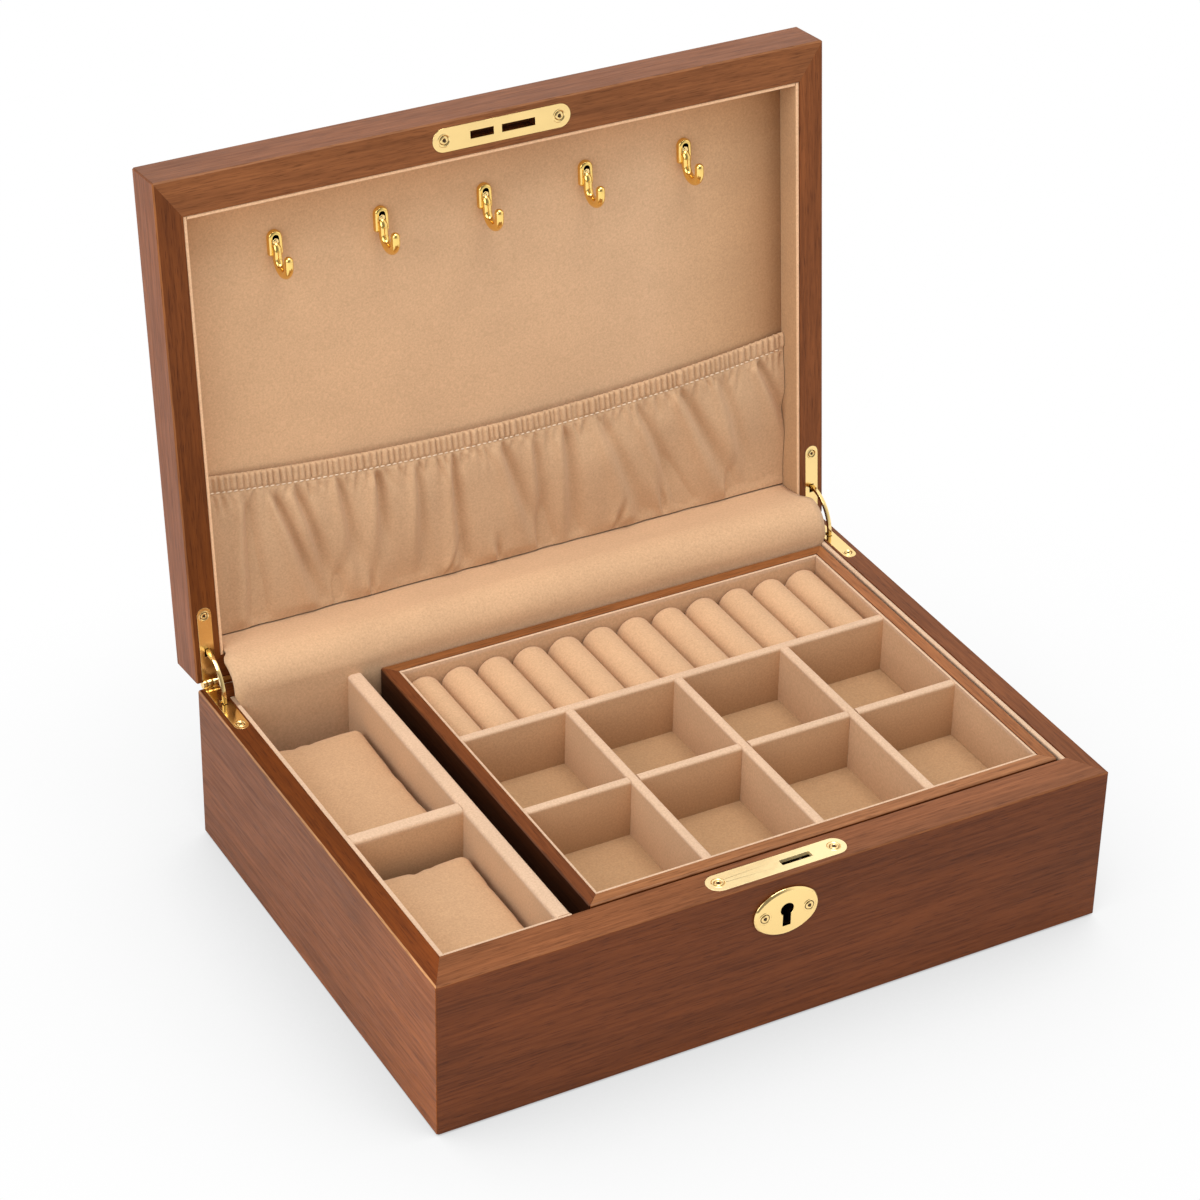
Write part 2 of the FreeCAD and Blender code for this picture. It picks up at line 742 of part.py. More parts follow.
def make_lock():
    bottom = lock_plate_under - lock_case_height
    half = lock_case_width / 2
    thick = lock_case_thick / 2
    case = block(-half, half, lock_y - thick, lock_y + thick, bottom, lock_plate_under)
    room = block(-half + lock_case_wall, half - lock_case_wall, lock_y - thick + lock_case_wall,
                 lock_y + thick - lock_case_wall, bottom + lock_case_wall, lock_plate_under)
    post = Part.makeCylinder(bolt_post_radius, lock_case_thick,
                             Vector(bolt_pivot_x, lock_y - thick, bolt_pivot_z), Y_AXIS)
    case = join([case.cut(room), post])
    parts["lock_case"] = case.cut(keyhole(lock_y - lock_case_thick, lock_y - bolt_thick))
    tools = [countersunk(place, DOWN, lock_plate_thick) for place in lock_screw_places(base_height)]
    tools.append(block(lock_slot_x - lock_slot_length / 2, lock_slot_x + lock_slot_length / 2,
                       lock_y - lock_slot_width / 2, lock_y + lock_slot_width / 2,
                       lock_plate_under, base_height))
    plate = lock_plate_outline(lock_plate_under, base_height, 0.0)
    parts["lock_plate"] = cut_all(plate, tools)
    parts["lock_hook"] = make_lock_hook()


def make_lock_hook():
    """A hooked bolt that swings up through the slot and over the strike plate's web."""
    centre = Vector(bolt_pivot_x, lock_y - bolt_thick / 2, bolt_pivot_z)
    inner = bolt_radius - bolt_bar / 2
    outer = bolt_radius + bolt_bar / 2
    corners = [Vector(inner, 0, 0), Vector(outer, 0, 0),
               Vector(outer, bolt_thick, 0), Vector(inner, bolt_thick, 0)]
    section = Part.Face(Part.makePolygon([centre + corner for corner in corners + corners[:1]]))
    section.rotate(centre, Y_AXIS, -bolt_tip_angle)
    claw = section.revolve(centre, Y_AXIS, bolt_arc)
    tail = Part.makeBox(outer, bolt_thick, bolt_bar, centre)
    tail.rotate(centre, Y_AXIS, bolt_arc - bolt_tip_angle)
    hub = Part.makeCylinder(bolt_hub_radius, bolt_thick, centre, Y_AXIS)
    bore = Part.makeCylinder(bolt_post_radius + pin_clear, bolt_thick, centre, Y_AXIS)
    bar = tail.common(Part.makeCylinder(outer, bolt_thick, centre, Y_AXIS))
    return join([claw, bar, hub]).cut(bore)


def make_strike():
    plate = lock_plate_outline(lid_rim, lid_rim + lock_plate_thick, 0.0)
    tools = [countersunk(place, Z_AXIS, lock_plate_thick) for place in lock_screw_places(lid_rim)]
    for x0, x1 in (strike_left_slot, strike_right_slot):
        tools.append(block(x0, x1, lock_y - lock_slot_width / 2, lock_y + lock_slot_width / 2,
                           lid_rim, lid_rim + lock_plate_thick))
    parts["strike_plate"] = opened(cut_all(plate, tools))


def oval(length, height, end_radius):
    """A four-centred oval on the plane Y = 0, drawn with two small and two large arcs."""
    a = length / 2
    b = height / 2
    large_radius = (a * a + b * b - 2 * a * end_radius) / (2 * (b - end_radius))
    turn = math.atan2(large_radius - b, a - end_radius)
    x = a - end_radius + end_radius * math.cos(turn)
    z = end_radius * math.sin(turn)
    return Part.Wire([
        Part.Arc(Vector(x, 0, -z), Vector(a, 0, 0), Vector(x, 0, z)).toShape(),
        Part.Arc(Vector(x, 0, z), Vector(0, 0, b), Vector(-x, 0, z)).toShape(),
        Part.Arc(Vector(-x, 0, z), Vector(-a, 0, 0), Vector(-x, 0, -z)).toShape(),
        Part.Arc(Vector(-x, 0, -z), Vector(0, 0, -b), Vector(x, 0, -z)).toShape(),
    ])


def make_keyhole_plate():
    face = -half_depth - keyhole_plate_thick
    outline = oval(keyhole_plate_width, keyhole_plate_height, keyhole_plate_end_radius)
    plate = Part.Face(outline).extrude(Vector(0, -keyhole_plate_thick, 0))
    rim = [edge for edge in plate.Edges if edge.BoundBox.YMax < -keyhole_plate_thick / 2]
    plate = plate.makeChamfer(keyhole_plate_bevel, rim)
    plate.translate(Vector(0, -half_depth, keyhole_z))
    tools = [keyhole(face, -half_depth)]
    for side, sign in SIDES:
        place = Vector(sign * keyhole_screw_spacing / 2, face, keyhole_z)
        tools.append(Part.makeCylinder(hole_radius, keyhole_plate_thick, place, Y_AXIS))
    parts["keyhole_plate"] = cut_all(plate, tools)


def hook_bar_outline(centre, radius):
    """The many-sided section of a hook's bar, across Y."""
    step = 2 * math.pi / hook_bar_sides
    corners = []
    for index in range(hook_bar_sides):
        angle = (index + 1 / 2) * step
        corners.append(centre + Vector(radius * math.cos(angle), 0, radius * math.sin(angle)))
    return Part.makePolygon(corners + corners[:1])


def make_hook():
    """A necklace hook with its plate's top at the origin, lying against the plane Z = 0."""
    radius = hook_plate_width / 2
    bottom = hook_plate_length
    front = -hook_plate_thick
    outline = Part.Wire([
        Part.Arc(Vector(-radius, radius, front), Vector(0, 0, front),
                 Vector(radius, radius, front)).toShape(),
        Part.LineSegment(Vector(radius, radius, front), Vector(radius, bottom, front)).toShape(),
        Part.LineSegment(Vector(radius, bottom, front), Vector(-radius, bottom, front)).toShape(),
        Part.LineSegment(Vector(-radius, bottom, front), Vector(-radius, radius, front)).toShape(),
    ])
    plate = Part.Face(outline).extrude(Vector(0, 0, hook_plate_thick))
    start = Vector(0, hook_arm_start, front - hook_bar_stand)
    turn = start + Y_AXIS * hook_arm_length
    bend_centre = turn + DOWN * hook_bend_radius
    far = bend_centre + DOWN * hook_bend_radius
    end = far - Y_AXIS * hook_return
    tip = end - Y_AXIS * hook_bar_radius
    bar = [
        Part.Face(hook_bar_outline(start, hook_bar_radius)).extrude(turn - start),
        Part.Face(hook_bar_outline(turn, hook_bar_radius)).revolve(bend_centre, X_AXIS, -180),
        Part.Face(hook_bar_outline(far, hook_bar_radius)).extrude(end - far),
        Part.makeLoft([hook_bar_outline(end, hook_bar_radius),
                       hook_bar_outline(tip, hook_bar_radius * hook_tip_share)], True, True),
    ]
    hole = Part.makeCylinder(hole_radius, hook_plate_thick, Vector(0, hook_screw_back, front), Z_AXIS)
    return join([plate] + bar).cut(hole)


def make_hooks():
    hook = make_hook()
    first = hook_row_shift - (hook_count - 1) * hook_pitch / 2
    hooks = []
    for index in range(hook_count):
        placed = hook.copy()
        placed.translate(Vector(first + index * hook_pitch, hook_top_setback - half_depth, lid_panel))
        hooks.append(opened(placed))
    parts["necklace_hooks"] = Part.makeCompound(hooks)


make_base_carcass()
make_base_linings()
make_pillows()
make_tray()
make_tray_dividers()
make_ring_rolls()
make_lid_carcass()
make_lid_linings()
make_pocket()
make_hinge_roll()
make_hinges()
make_lock()
make_strike()
make_keyhole_plate()
make_hooks()

os.makedirs("parts", exist_ok=True)
for name, shape in parts.items():
    shape.exportStep("parts/" + name + ".step")
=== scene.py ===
import json
import math
import random

import bpy
from mathutils import Matrix, Vector, noise


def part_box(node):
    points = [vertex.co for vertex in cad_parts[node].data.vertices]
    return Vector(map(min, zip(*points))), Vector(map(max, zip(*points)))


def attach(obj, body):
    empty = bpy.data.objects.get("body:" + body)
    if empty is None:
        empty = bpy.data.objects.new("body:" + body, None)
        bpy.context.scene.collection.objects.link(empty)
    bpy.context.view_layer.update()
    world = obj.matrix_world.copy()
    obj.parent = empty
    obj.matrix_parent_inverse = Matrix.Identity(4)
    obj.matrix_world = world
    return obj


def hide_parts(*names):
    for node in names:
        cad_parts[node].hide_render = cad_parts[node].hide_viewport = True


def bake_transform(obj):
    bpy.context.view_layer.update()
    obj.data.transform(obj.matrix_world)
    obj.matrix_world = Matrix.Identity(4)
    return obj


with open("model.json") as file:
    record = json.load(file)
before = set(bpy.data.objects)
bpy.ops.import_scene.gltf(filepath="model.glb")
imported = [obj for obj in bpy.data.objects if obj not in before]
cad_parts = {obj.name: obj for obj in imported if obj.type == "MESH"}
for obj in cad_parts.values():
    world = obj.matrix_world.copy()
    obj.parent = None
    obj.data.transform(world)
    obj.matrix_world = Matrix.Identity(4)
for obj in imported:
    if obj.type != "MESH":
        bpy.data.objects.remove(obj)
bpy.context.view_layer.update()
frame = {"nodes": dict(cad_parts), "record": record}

nodes = frame["nodes"]
MM = 0.001

# The hinge line and the lid's open angle, the closed lid's inner board, both rims, and the hooks' places,
# in mm as in the closed box.
HINGE_Y, HINGE_Z, OPEN = 107.0, 69.9, math.radians(95.3)
LID_PANEL = 82.3
BASE_RIM, LID_RIM = 69.0, 69.3
HOOKS_X = (-93, -48, -3, 42, 87)


def in_lid(x, y, z):
    """The lid is open at rest: turn a place in the closed lid, in mm, to the open one, in metres."""
    dy, dz = y - HINGE_Y, z - HINGE_Z
    c, s = math.cos(-OPEN), math.sin(-OPEN)
    return Vector((x, HINGE_Y + dy * c - dz * s, HINGE_Z + dy * s + dz * c)) * MM


def in_base(x, y, z):
    return Vector((x, y, z)) * MM


# Materials

WALNUT = (0.150, 0.0385, 0.0085)
SUEDE = (0.63, 0.405, 0.238)
# The pillows' cloth is the lining's made darker, partly as painted shade such as a watch on it would cast.
PILLOW_SUEDE = (0.57, 0.355, 0.200)
# Tones multiply a colour: as it is, none of it, and painted highlights along the lit tops and edges of
# cloth.
AS_IS, BLACK = (1.0, 1.0, 1.0), (0.0, 0.0, 0.0)
TOP_HIGHLIGHT, LID_EDGE_HIGHLIGHT = (1.05, 1.14, 1.32), (1.40, 1.36, 1.36)
UP, DOWN, FRONT, LEFT = (0.0, 0.0, 1.0), (0.0, 0.0, -1.0), (0.0, -1.0, 0.0), (-1.0, 0.0, 0.0)
# The way the open lid's rim faces.
LID_RIM_OUT = in_lid(0.0, 0.0, -1.0) / MM - in_lid(0.0, 0.0, 0.0) / MM


def new_material(name):
    material = bpy.data.materials.new(name)
    material.use_nodes = True
    tree = material.node_tree
    shader = tree.nodes["Principled BSDF"]
    return material, tree, shader


def add(tree, kind, **settings):
    """A new node; each setting goes to its input of that name, or else to the node itself."""
    node = tree.nodes.new(kind)
    for key, value in settings.items():
        if key in node.inputs:
            node.inputs[key].default_value = value
        else:
            setattr(node, key, value)
    return node


def ramp(tree, source, stops):
    """Colours over a value from 0 to 1."""
    node = tree.nodes.new("ShaderNodeValToRGB")
    elements = node.color_ramp.elements
    while len(elements) < len(stops):
        elements.new(0.5)
    for element, (place, color) in zip(elements, stops):
        element.position = place
        element.color = (*color, 1.0)
    tree.links.new(source, node.inputs["Fac"])
    return node.outputs["Color"]


def mix(tree, factor, a, b, blend="MIX"):
    """Mix two colours; each value may be a socket, a number or a colour."""
    node = tree.nodes.new("ShaderNodeMix")
    node.data_type = "RGBA"
    node.blend_type = blend
    for value, socket in ((factor, node.inputs[0]), (a, node.inputs[6]), (b, node.inputs[7])):
        if isinstance(value, bpy.types.NodeSocket):
            tree.links.new(value, socket)
        elif isinstance(value, (int, float)):
            socket.default_value = value
        else:
            socket.default_value = (*value, 1.0)
    return node.outputs[2]


def times(tree, a, b):
    return mix(tree, 1.0, a, b, "MULTIPLY")


def greatest(tree, a, b):
    node = add(tree, "ShaderNodeMath", operation="MAXIMUM")
    tree.links.new(a, node.inputs[0])
    tree.links.new(b, node.inputs[1])
    return node.outputs["Value"]


def facing(tree, place, way):
    """How far the surface faces one way, from -1 to 1."""
    node = add(tree, "ShaderNodeVectorMath", operation="DOT_PRODUCT")
    node.inputs[1].default_value = way
    tree.links.new(place.outputs["Normal"], node.inputs[0])
    return node.outputs["Value"]


def squareness(tree, place):
    """The greatest part of the surface's normal along an axis: 1 on a flat side, less on a rounded edge."""
    size = add(tree, "ShaderNodeVectorMath", operation="ABSOLUTE")
    tree.links.new(place.outputs["Normal"], size.inputs[0])
    way = add(tree, "ShaderNodeSeparateXYZ")
    tree.links.new(size.outputs["Vector"], way.inputs["Vector"])
    return greatest(tree, greatest(tree, way.outputs["X"], way.outputs["Y"]), way.outputs["Z"])


def ramp_along(tree, place, axis, stops):
    """A ramp over places along one axis, in metres, which may lie below 0."""
    axes = add(tree, "ShaderNodeSeparateXYZ")
    tree.links.new(place.outputs["Object"], axes.inputs["Vector"])
    low, high = stops[0][0], stops[-1][0]
    span = add(tree, "ShaderNodeMapRange")
    span.inputs["From Min"].default_value = low
    span.inputs["From Max"].default_value = high
    tree.links.new(axes.outputs[axis], span.inputs["Value"])
    return ramp(tree, span.outputs["Result"], [((at - low) / (high - low), color) for at, color in stops])


def walnut(name, along, seed, lid, sides, rim, edge=(1.3, 1.6, 2.0), depth=None, hole=None):
    """Satin walnut with its grain along one axis of the closed box.

    sides and rim are tones of painted light and shade for how light falls on its sides and its rim, edge
    is a painted highlight on its rounded top edges, depth has painted light falloff from front to back,
    and hole is the place on its face where the bore gets painted shade.
    """
    material, tree, shader = new_material(name)
    place = add(tree, "ShaderNodeTexCoord")
    turn = add(tree, "ShaderNodeMapping")
    if lid:
        turn.inputs["Rotation"].default_value = (OPEN, 0.0, 0.0)
    turn.inputs["Location"].default_value = (seed * 0.37, seed * 0.71, seed * 0.53)
    tree.links.new(place.outputs["Object"], turn.inputs["Vector"])

    def grain(share, **settings):
        """Noise drawn out along the grain: share is its scale there."""
        scale = add(tree, "ShaderNodeMapping")
        scale.inputs["Scale"].default_value = [share if axis == along else 1.0 for axis in "XYZ"]
        tree.links.new(turn.outputs["Vector"], scale.inputs["Vector"])
        texture = add(tree, "ShaderNodeTexNoise", **settings)
        tree.links.new(scale.outputs["Vector"], texture.inputs["Vector"])
        return texture.outputs["Fac"]

    broad = grain(0.12, Scale=45.0, Detail=3.0, Roughness=0.5, Distortion=0.8)
    bands = grain(0.050, Scale=260.0, Detail=3.0, Roughness=0.55, Distortion=0.3)
    lines = grain(0.042, Scale=920.0, Detail=3.0, Roughness=0.6, Distortion=0.1)
    pores = grain(0.060, Scale=2300.0, Detail=2.0, Roughness=0.5)
    figure = ramp(tree, broad, [(0.28, [c * 0.84 for c in WALNUT]), (0.72, [c * 1.16 for c in WALNUT])])
    band = ramp(tree, bands, [(0.30, (0.88, 0.85, 0.82)), (0.70, (1.10, 1.10, 1.10))])
    streak = ramp(tree, lines, [(0.30, (0.74, 0.70, 0.67)), (0.62, (1.10, 1.10, 1.10))])
    pore = ramp(tree, pores, [(0.30, (0.52, 0.47, 0.43)), (0.45, AS_IS)])
    color = times(tree, times(tree, figure, band), streak)
    color = mix(tree, 0.8, color, pore, "MULTIPLY")
    # Painted light and shade: the sides and the rim each get a tone for how light falls on them.
    outward = facing(tree, place, LID_RIM_OUT if lid else UP)
    color = times(tree, color, ramp(tree, outward, [(0.6, sides), (0.9, rim)]))
    # Painted highlight on rounded edges that face up, and a little painted shade on rounded edges that
    # don't.
    corner = ramp(tree, squareness(tree, place), [(0.72, AS_IS), (0.94, BLACK)])
    edge_light = ramp(tree, outward, [(0.2, (0.9, 0.9, 0.9)), (0.5, edge)])
    color = times(tree, color, mix(tree, corner, AS_IS, edge_light))
    # Painted light falloff from front to back.
    if depth:
        color = times(tree, color, ramp_along(tree, place, "Y", depth))
    # Painted shade: the bore round the keyhole goes nearly black.
    if hole:
        away = add(tree, "ShaderNodeVectorMath", operation="DISTANCE")
        away.inputs[1].default_value = hole
        tree.links.new(place.outputs["Object"], away.inputs[0])
        bore = ramp(tree, away.outputs["Value"], [(0.0095, (0.03, 0.03, 0.03)), (0.0100, AS_IS)])
        color = times(tree, color, bore)
    tree.links.new(color, shader.inputs["Base Color"])
    rough = ramp(tree, lines, [(0.3, (0.48, 0.48, 0.48)), (0.7, (0.36, 0.36, 0.36))])
    tree.links.new(rough, shader.inputs["Roughness"])
    shader.inputs["Specular IOR Level"].default_value = 0.16
    bump = add(tree, "ShaderNodeBump", Strength=0.12, Distance=0.0002)
    tree.links.new(pores, bump.inputs["Height"])
    tree.links.new(bump.outputs["Normal"], shader.inputs["Normal"])
    return material


def top_edge_highlight(tree, place):
    """A painted highlight along the top of the cloth over a board, where light from above falls."""
    return ramp_along(tree, place, "Z", [(0.0662, AS_IS), (0.0674, TOP_HIGHLIGHT)])


def tray_shade(tree, place):
    """The tray's lining: a painted highlight along its top edge, and painted shade on its floor."""
    floor = [(0.0430, (0.76, 0.72, 0.64)), (0.0440, (0.95, 0.94, 0.92)), (0.0560, AS_IS)]
    return times(tree, ramp_along(tree, place, "Z", floor), top_edge_highlight(tree, place))


def divider_shade(tree, place):
    """A divider: a painted highlight along its top edge, and painted shade down its front face, where less
    light reaches.
    """
    down = ramp_along(tree, place, "Z", [(0.043, (0.70, 0.65, 0.56)), (0.062, (1.0, 0.95, 0.88))])
    front = ramp(tree, facing(tree, place, FRONT), [(0.6, BLACK), (0.9, AS_IS)])
    return times(tree, mix(tree, front, AS_IS, down), top_edge_highlight(tree, place))


def lid_board_shade(tree, place):
    """The lid's board: painted light over its middle and left, and painted shade along its right side and
    its top, where the frame shades it.
    """
    across = [(-0.130, (1.11, 1.07, 1.03)), (0.070, (1.10, 1.10, 1.11)), (0.100, (1.00, 0.95, 0.89)),
              (0.115, (0.87, 0.79, 0.70)), (0.124, (0.74, 0.64, 0.54)), (0.131, (0.54, 0.44, 0.34))]
    upward = [(0.235, AS_IS), (0.255, (0.98, 0.91, 0.84)), (0.270, (0.92, 0.82, 0.72))]
    return times(tree, ramp_along(tree, place, "X", across), ramp_along(tree, place, "Z", upward))


def lid_edge(tree, place):
    """The lid's lining strips: a painted highlight along the edge at the rim, and painted shade on the
    right strip's face.
    """
    edge = ramp(tree, facing(tree, place, LID_RIM_OUT), [(0.6, AS_IS), (0.9, LID_EDGE_HIGHLIGHT)])
    inner = ramp(tree, facing(tree, place, LEFT), [(0.6, AS_IS), (0.9, (0.84, 0.79, 0.70))])
    return times(tree, edge, inner)


def suede(name, color, shade=None):
    """Napped cloth: faint mottling, a fine nap and a little sheen; shade gives tones over the surface."""
    material, tree, shader = new_material(name)
    place = add(tree, "ShaderNodeTexCoord")
    mottle = add(tree, "ShaderNodeTexNoise", Scale=34.0, Detail=4.0, Roughness=0.55)
    nap = add(tree, "ShaderNodeTexNoise", Scale=1150.0, Detail=3.0, Roughness=0.75)
    for texture in (mottle, nap):
        tree.links.new(place.outputs["Object"], texture.inputs["Vector"])
    low = [c * 0.965 for c in color]
    high = [c * 1.035 for c in color]
    base = ramp(tree, mottle.outputs["Fac"], [(0.35, low), (0.65, high)])
    fine = ramp(tree, nap.outputs["Fac"], [(0.30, (0.86, 0.83, 0.80)), (0.68, (1.08, 1.08, 1.08))])
    cloth = times(tree, base, fine)
    if shade:
        cloth = times(tree, cloth, shade(tree, place))
    tree.links.new(cloth, shader.inputs["Base Color"])
    shader.inputs["Roughness"].default_value = 1.0
    shader.inputs["Specular IOR Level"].default_value = 0.1
    shader.inputs["Sheen Weight"].default_value = 0.16
    shader.inputs["Sheen Roughness"].default_value = 0.6
    shader.inputs["Sheen Tint"].default_value = (1.0, 0.92, 0.82, 1.0)
    bump = add(tree, "ShaderNodeBump", Strength=0.22, Distance=0.0003)
    tree.links.new(nap.outputs["Fac"], bump.inputs["Height"])
    tree.links.new(bump.outputs["Normal"], shader.inputs["Normal"])
    return material


def mottled(name, color, roughness, metallic, size, wave):
    """A plain stuff with clouded colour and gloss: size is the clouds' and wave their height, in metres."""
    material, tree, shader = new_material(name)
    place = add(tree, "ShaderNodeTexCoord").outputs["Object"]
    cloud = add(tree, "ShaderNodeTexNoise", Scale=1.0 / size, Detail=3.0, Roughness=0.5)
    tree.links.new(place, cloud.inputs["Vector"])
    tint = ramp(tree, cloud.outputs["Fac"], [(0.3, [c * 0.94 for c in color]), (0.7, color)])
    tree.links.new(tint, shader.inputs["Base Color"])
    dull = [(0.3, (roughness * 0.85,) * 3), (0.7, (min(1.0, roughness * 1.15),) * 3)]
    tree.links.new(ramp(tree, cloud.outputs["Fac"], dull), shader.inputs["Roughness"])
    shader.inputs["Metallic"].default_value = metallic
    bump = add(tree, "ShaderNodeBump", Strength=1.0, Distance=wave)
    tree.links.new(cloud.outputs["Fac"], bump.inputs["Height"])
    tree.links.new(bump.outputs["Normal"], shader.inputs["Normal"])
    return material


suede_flat = suede("suede", SUEDE)
suede_lining = suede("lining_suede", SUEDE, top_edge_highlight)
suede_tray = suede("tray_suede", SUEDE, tray_shade)
suede_divider = suede("divider_suede", SUEDE, divider_shade)
suede_lid_strip = suede("lid_strip_suede", SUEDE, lid_edge)
suede_lid_board = suede("lid_board_suede", SUEDE, lid_board_shade)
suede_soft = suede("padded_suede", SUEDE)
suede_pillow = suede("pillow_suede", PILLOW_SUEDE)
brass = mottled("polished_brass", (0.96, 0.70, 0.30), 0.14, 1.0, 0.020, 0.0004)
hook_brass = mottled("hook_brass", (0.95, 0.66, 0.20), 0.14, 1.0, 0.004, 0.0001)
# The lock plate: a paler, half-matte copy of the brass, lit by the lamps in place of its bright reflection:
# painted reflection.
plate_brass = mottled("lock_plate_brass", (1.0, 0.80, 0.42), 0.20, 0.45, 0.020, 0.0003)
# Near black: painted shade in the screws' sockets and grooves, and on the lock case behind the keyhole.
dark_shade = mottled("painted_recess_shade", (0.055, 0.026, 0.008), 0.5, 0.6, 0.002, 0.00002)
steel = mottled("lock_steel", (0.10, 0.085, 0.07), 0.5, 1.0, 0.004, 0.00005)
felt = mottled("felt", (0.03, 0.02, 0.015), 1.0, 0.0, 0.0008, 0.0001)
board = mottled("inner_board", (0.30, 0.19, 0.11), 0.8, 0.0, 0.003, 0.00005)
thread = mottled("thread", (0.92, 0.73, 0.53), 0.9, 0.0, 0.0004, 0.00005)

# The keyhole's centre, round which the bore gets painted shade, and the left side's painted light falloff
# from front to back, both placed in metres.
KEYHOLE = (0.0, -0.106, 0.052)
LEFT_LIGHT_FALLOFF = [(-0.10, (1.34, 1.28, 1.12)), (-0.04, (0.98, 0.95, 0.82)), (0.10, (0.85, 0.83, 0.82))]
PLAIN, RIGHT_SIDE = (1.1, 1.1, 1.1), (1.3, 1.35, 1.2)
# For each board: the grain's axis, its seed, whether it is in the lid, and its tones, most of them painted
# light and shade for how light falls on each face.
grain_of = {
    "base_front": dict(along="X", seed=1, lid=False, sides=(1.0, 0.99, 0.88), rim=(1.42, 1.98, 3.4),
                       hole=KEYHOLE),
    "base_back": dict(along="X", seed=2, lid=False, sides=PLAIN, rim=PLAIN),
    "base_left": dict(along="Y", seed=3, lid=False, sides=(1.43, 1.56, 0.94), rim=(0.93, 0.88, 0.64),
                      edge=(2.4, 4.6, 16.0), depth=LEFT_LIGHT_FALLOFF),
    "base_right": dict(along="Y", seed=4, lid=False, sides=RIGHT_SIDE, rim=(1.22, 1.5, 1.9)),
    "lid_front": dict(along="X", seed=5, lid=True, sides=(1.28, 1.62, 2.15), rim=(1.64, 2.24, 3.25)),
    "lid_back": dict(along="X", seed=6, lid=True, sides=PLAIN, rim=PLAIN),
    "lid_left": dict(along="Y", seed=7, lid=True, sides=(1.6, 1.8, 1.9), rim=(1.08, 1.15, 0.96)),
    "lid_right": dict(along="Y", seed=8, lid=True, sides=RIGHT_SIDE, rim=(1.55, 1.85, 2.2)),
    "lid_top": dict(along="X", seed=9, lid=True, sides=(1.2, 1.2, 1.2), rim=AS_IS),
    "tray_front": dict(along="X", seed=10, lid=False, sides=PLAIN, rim=(2.04, 3.3, 5.9)),
    "tray_back": dict(along="X", seed=11, lid=False, sides=PLAIN, rim=(1.8, 2.55, 3.5)),
    # The tray's left side is painted nearly black, as painted shade in the narrow gap beside it.
    "tray_left": dict(along="Y", seed=12, lid=False, sides=(0.27, 0.24, 0.22), rim=(1.06, 1.2, 1.6)),
    "tray_right": dict(along="Y", seed=13, lid=False, sides=PLAIN, rim=(2.15, 3.15, 4.7)),
}
slot_of = {entry["node"]: entry["material_slot"] for entry in frame["record"]["subparts"]}
by_slot = {"suede": suede_flat, "padded_suede": suede_soft, "polished_brass": brass, "lock_steel": steel,
           "felt": felt, "inner_board": board}
# The lock case gets the near-black painted shade, so the keyhole looks dark.
by_node = {"lock_plate": plate_brass, "lock_case": dark_shade, "tray_lining": suede_tray,
           "lid_board": suede_lid_board}
by_node.update(dict.fromkeys(("lining_left", "lining_right", "lining_front"), suede_lining))
by_node.update(dict.fromkeys(("lid_lining_left", "lid_lining_right", "lid_lining_front"), suede_lid_strip))
by_node.update(dict.fromkeys(("ring_divider", "row_divider", "column_dividers", "bay_divider",
                              "bay_partition"), suede_divider))
# How far edges are rounded, in mm: by slot, and where a node differs from its slot.
soften = {"walnut": 0.35, "suede": 0.5, "polished_brass": 0.22}
rounded = {"bay_partition": 1.4, "bay_divider": 1.4, "ring_divider": 0.9, "row_divider": 0.9,
           "column_dividers": 0.9, "hinge_base_leaf_left": 0.1, "hinge_base_leaf_right": 0.1,
           "hinge_lid_leaf_left": 0.1, "hinge_lid_leaf_right": 0.1}
for name, node in nodes.items():
    slot = slot_of[name]
    if slot == "walnut":
        look = walnut("walnut_" + name, **grain_of[name])
    else:
        look = by_node.get(name, by_slot[slot])
    node.data.materials.clear()
    node.data.materials.append(look)
    if slot in soften:
        weld = node.modifiers.new("weld", "WELD")
        weld.merge_threshold = 0.000005
        bevel = node.modifiers.new("bevel", "BEVEL")
        bevel.width = rounded.get(name, soften[slot]) * MM
        bevel.segments = 4 if name in rounded else 3
        bevel.limit_method = "ANGLE"
        bevel.angle_limit = math.radians(35)


# Helpers for new pieces

def piece(name, points, faces, material, smooth=True):
    """A new object of one material, from points in metres."""
    mesh = bpy.data.meshes.new(name)
    mesh.from_pydata([tuple(p) for p in points], [], faces)
    mesh.materials.append(material)
    if smooth:
        mesh.polygons.foreach_set("use_smooth", [True] * len(mesh.polygons))
    mesh.update()
    obj = bpy.data.objects.new(name, mesh)
    bpy.context.scene.collection.objects.link(obj)
    return obj


def grid_faces(rows, columns, start=0, wrap=False):
    """Quads between rows of points, from point start on; wrap closes each row into a ring."""
    faces = []
    for i in range(rows - 1):
        for j in range(columns if wrap else columns - 1):
            a = start + i * columns + j
            b = start + i * columns + (j + 1) % columns
            faces.append((a, b, b + columns, a + columns))
    return faces


def smoothstep(low, high, value):
    t = min(1.0, max(0.0, (value - low) / (high - low)))
    return t * t * (3 - 2 * t)


# Watch pillows

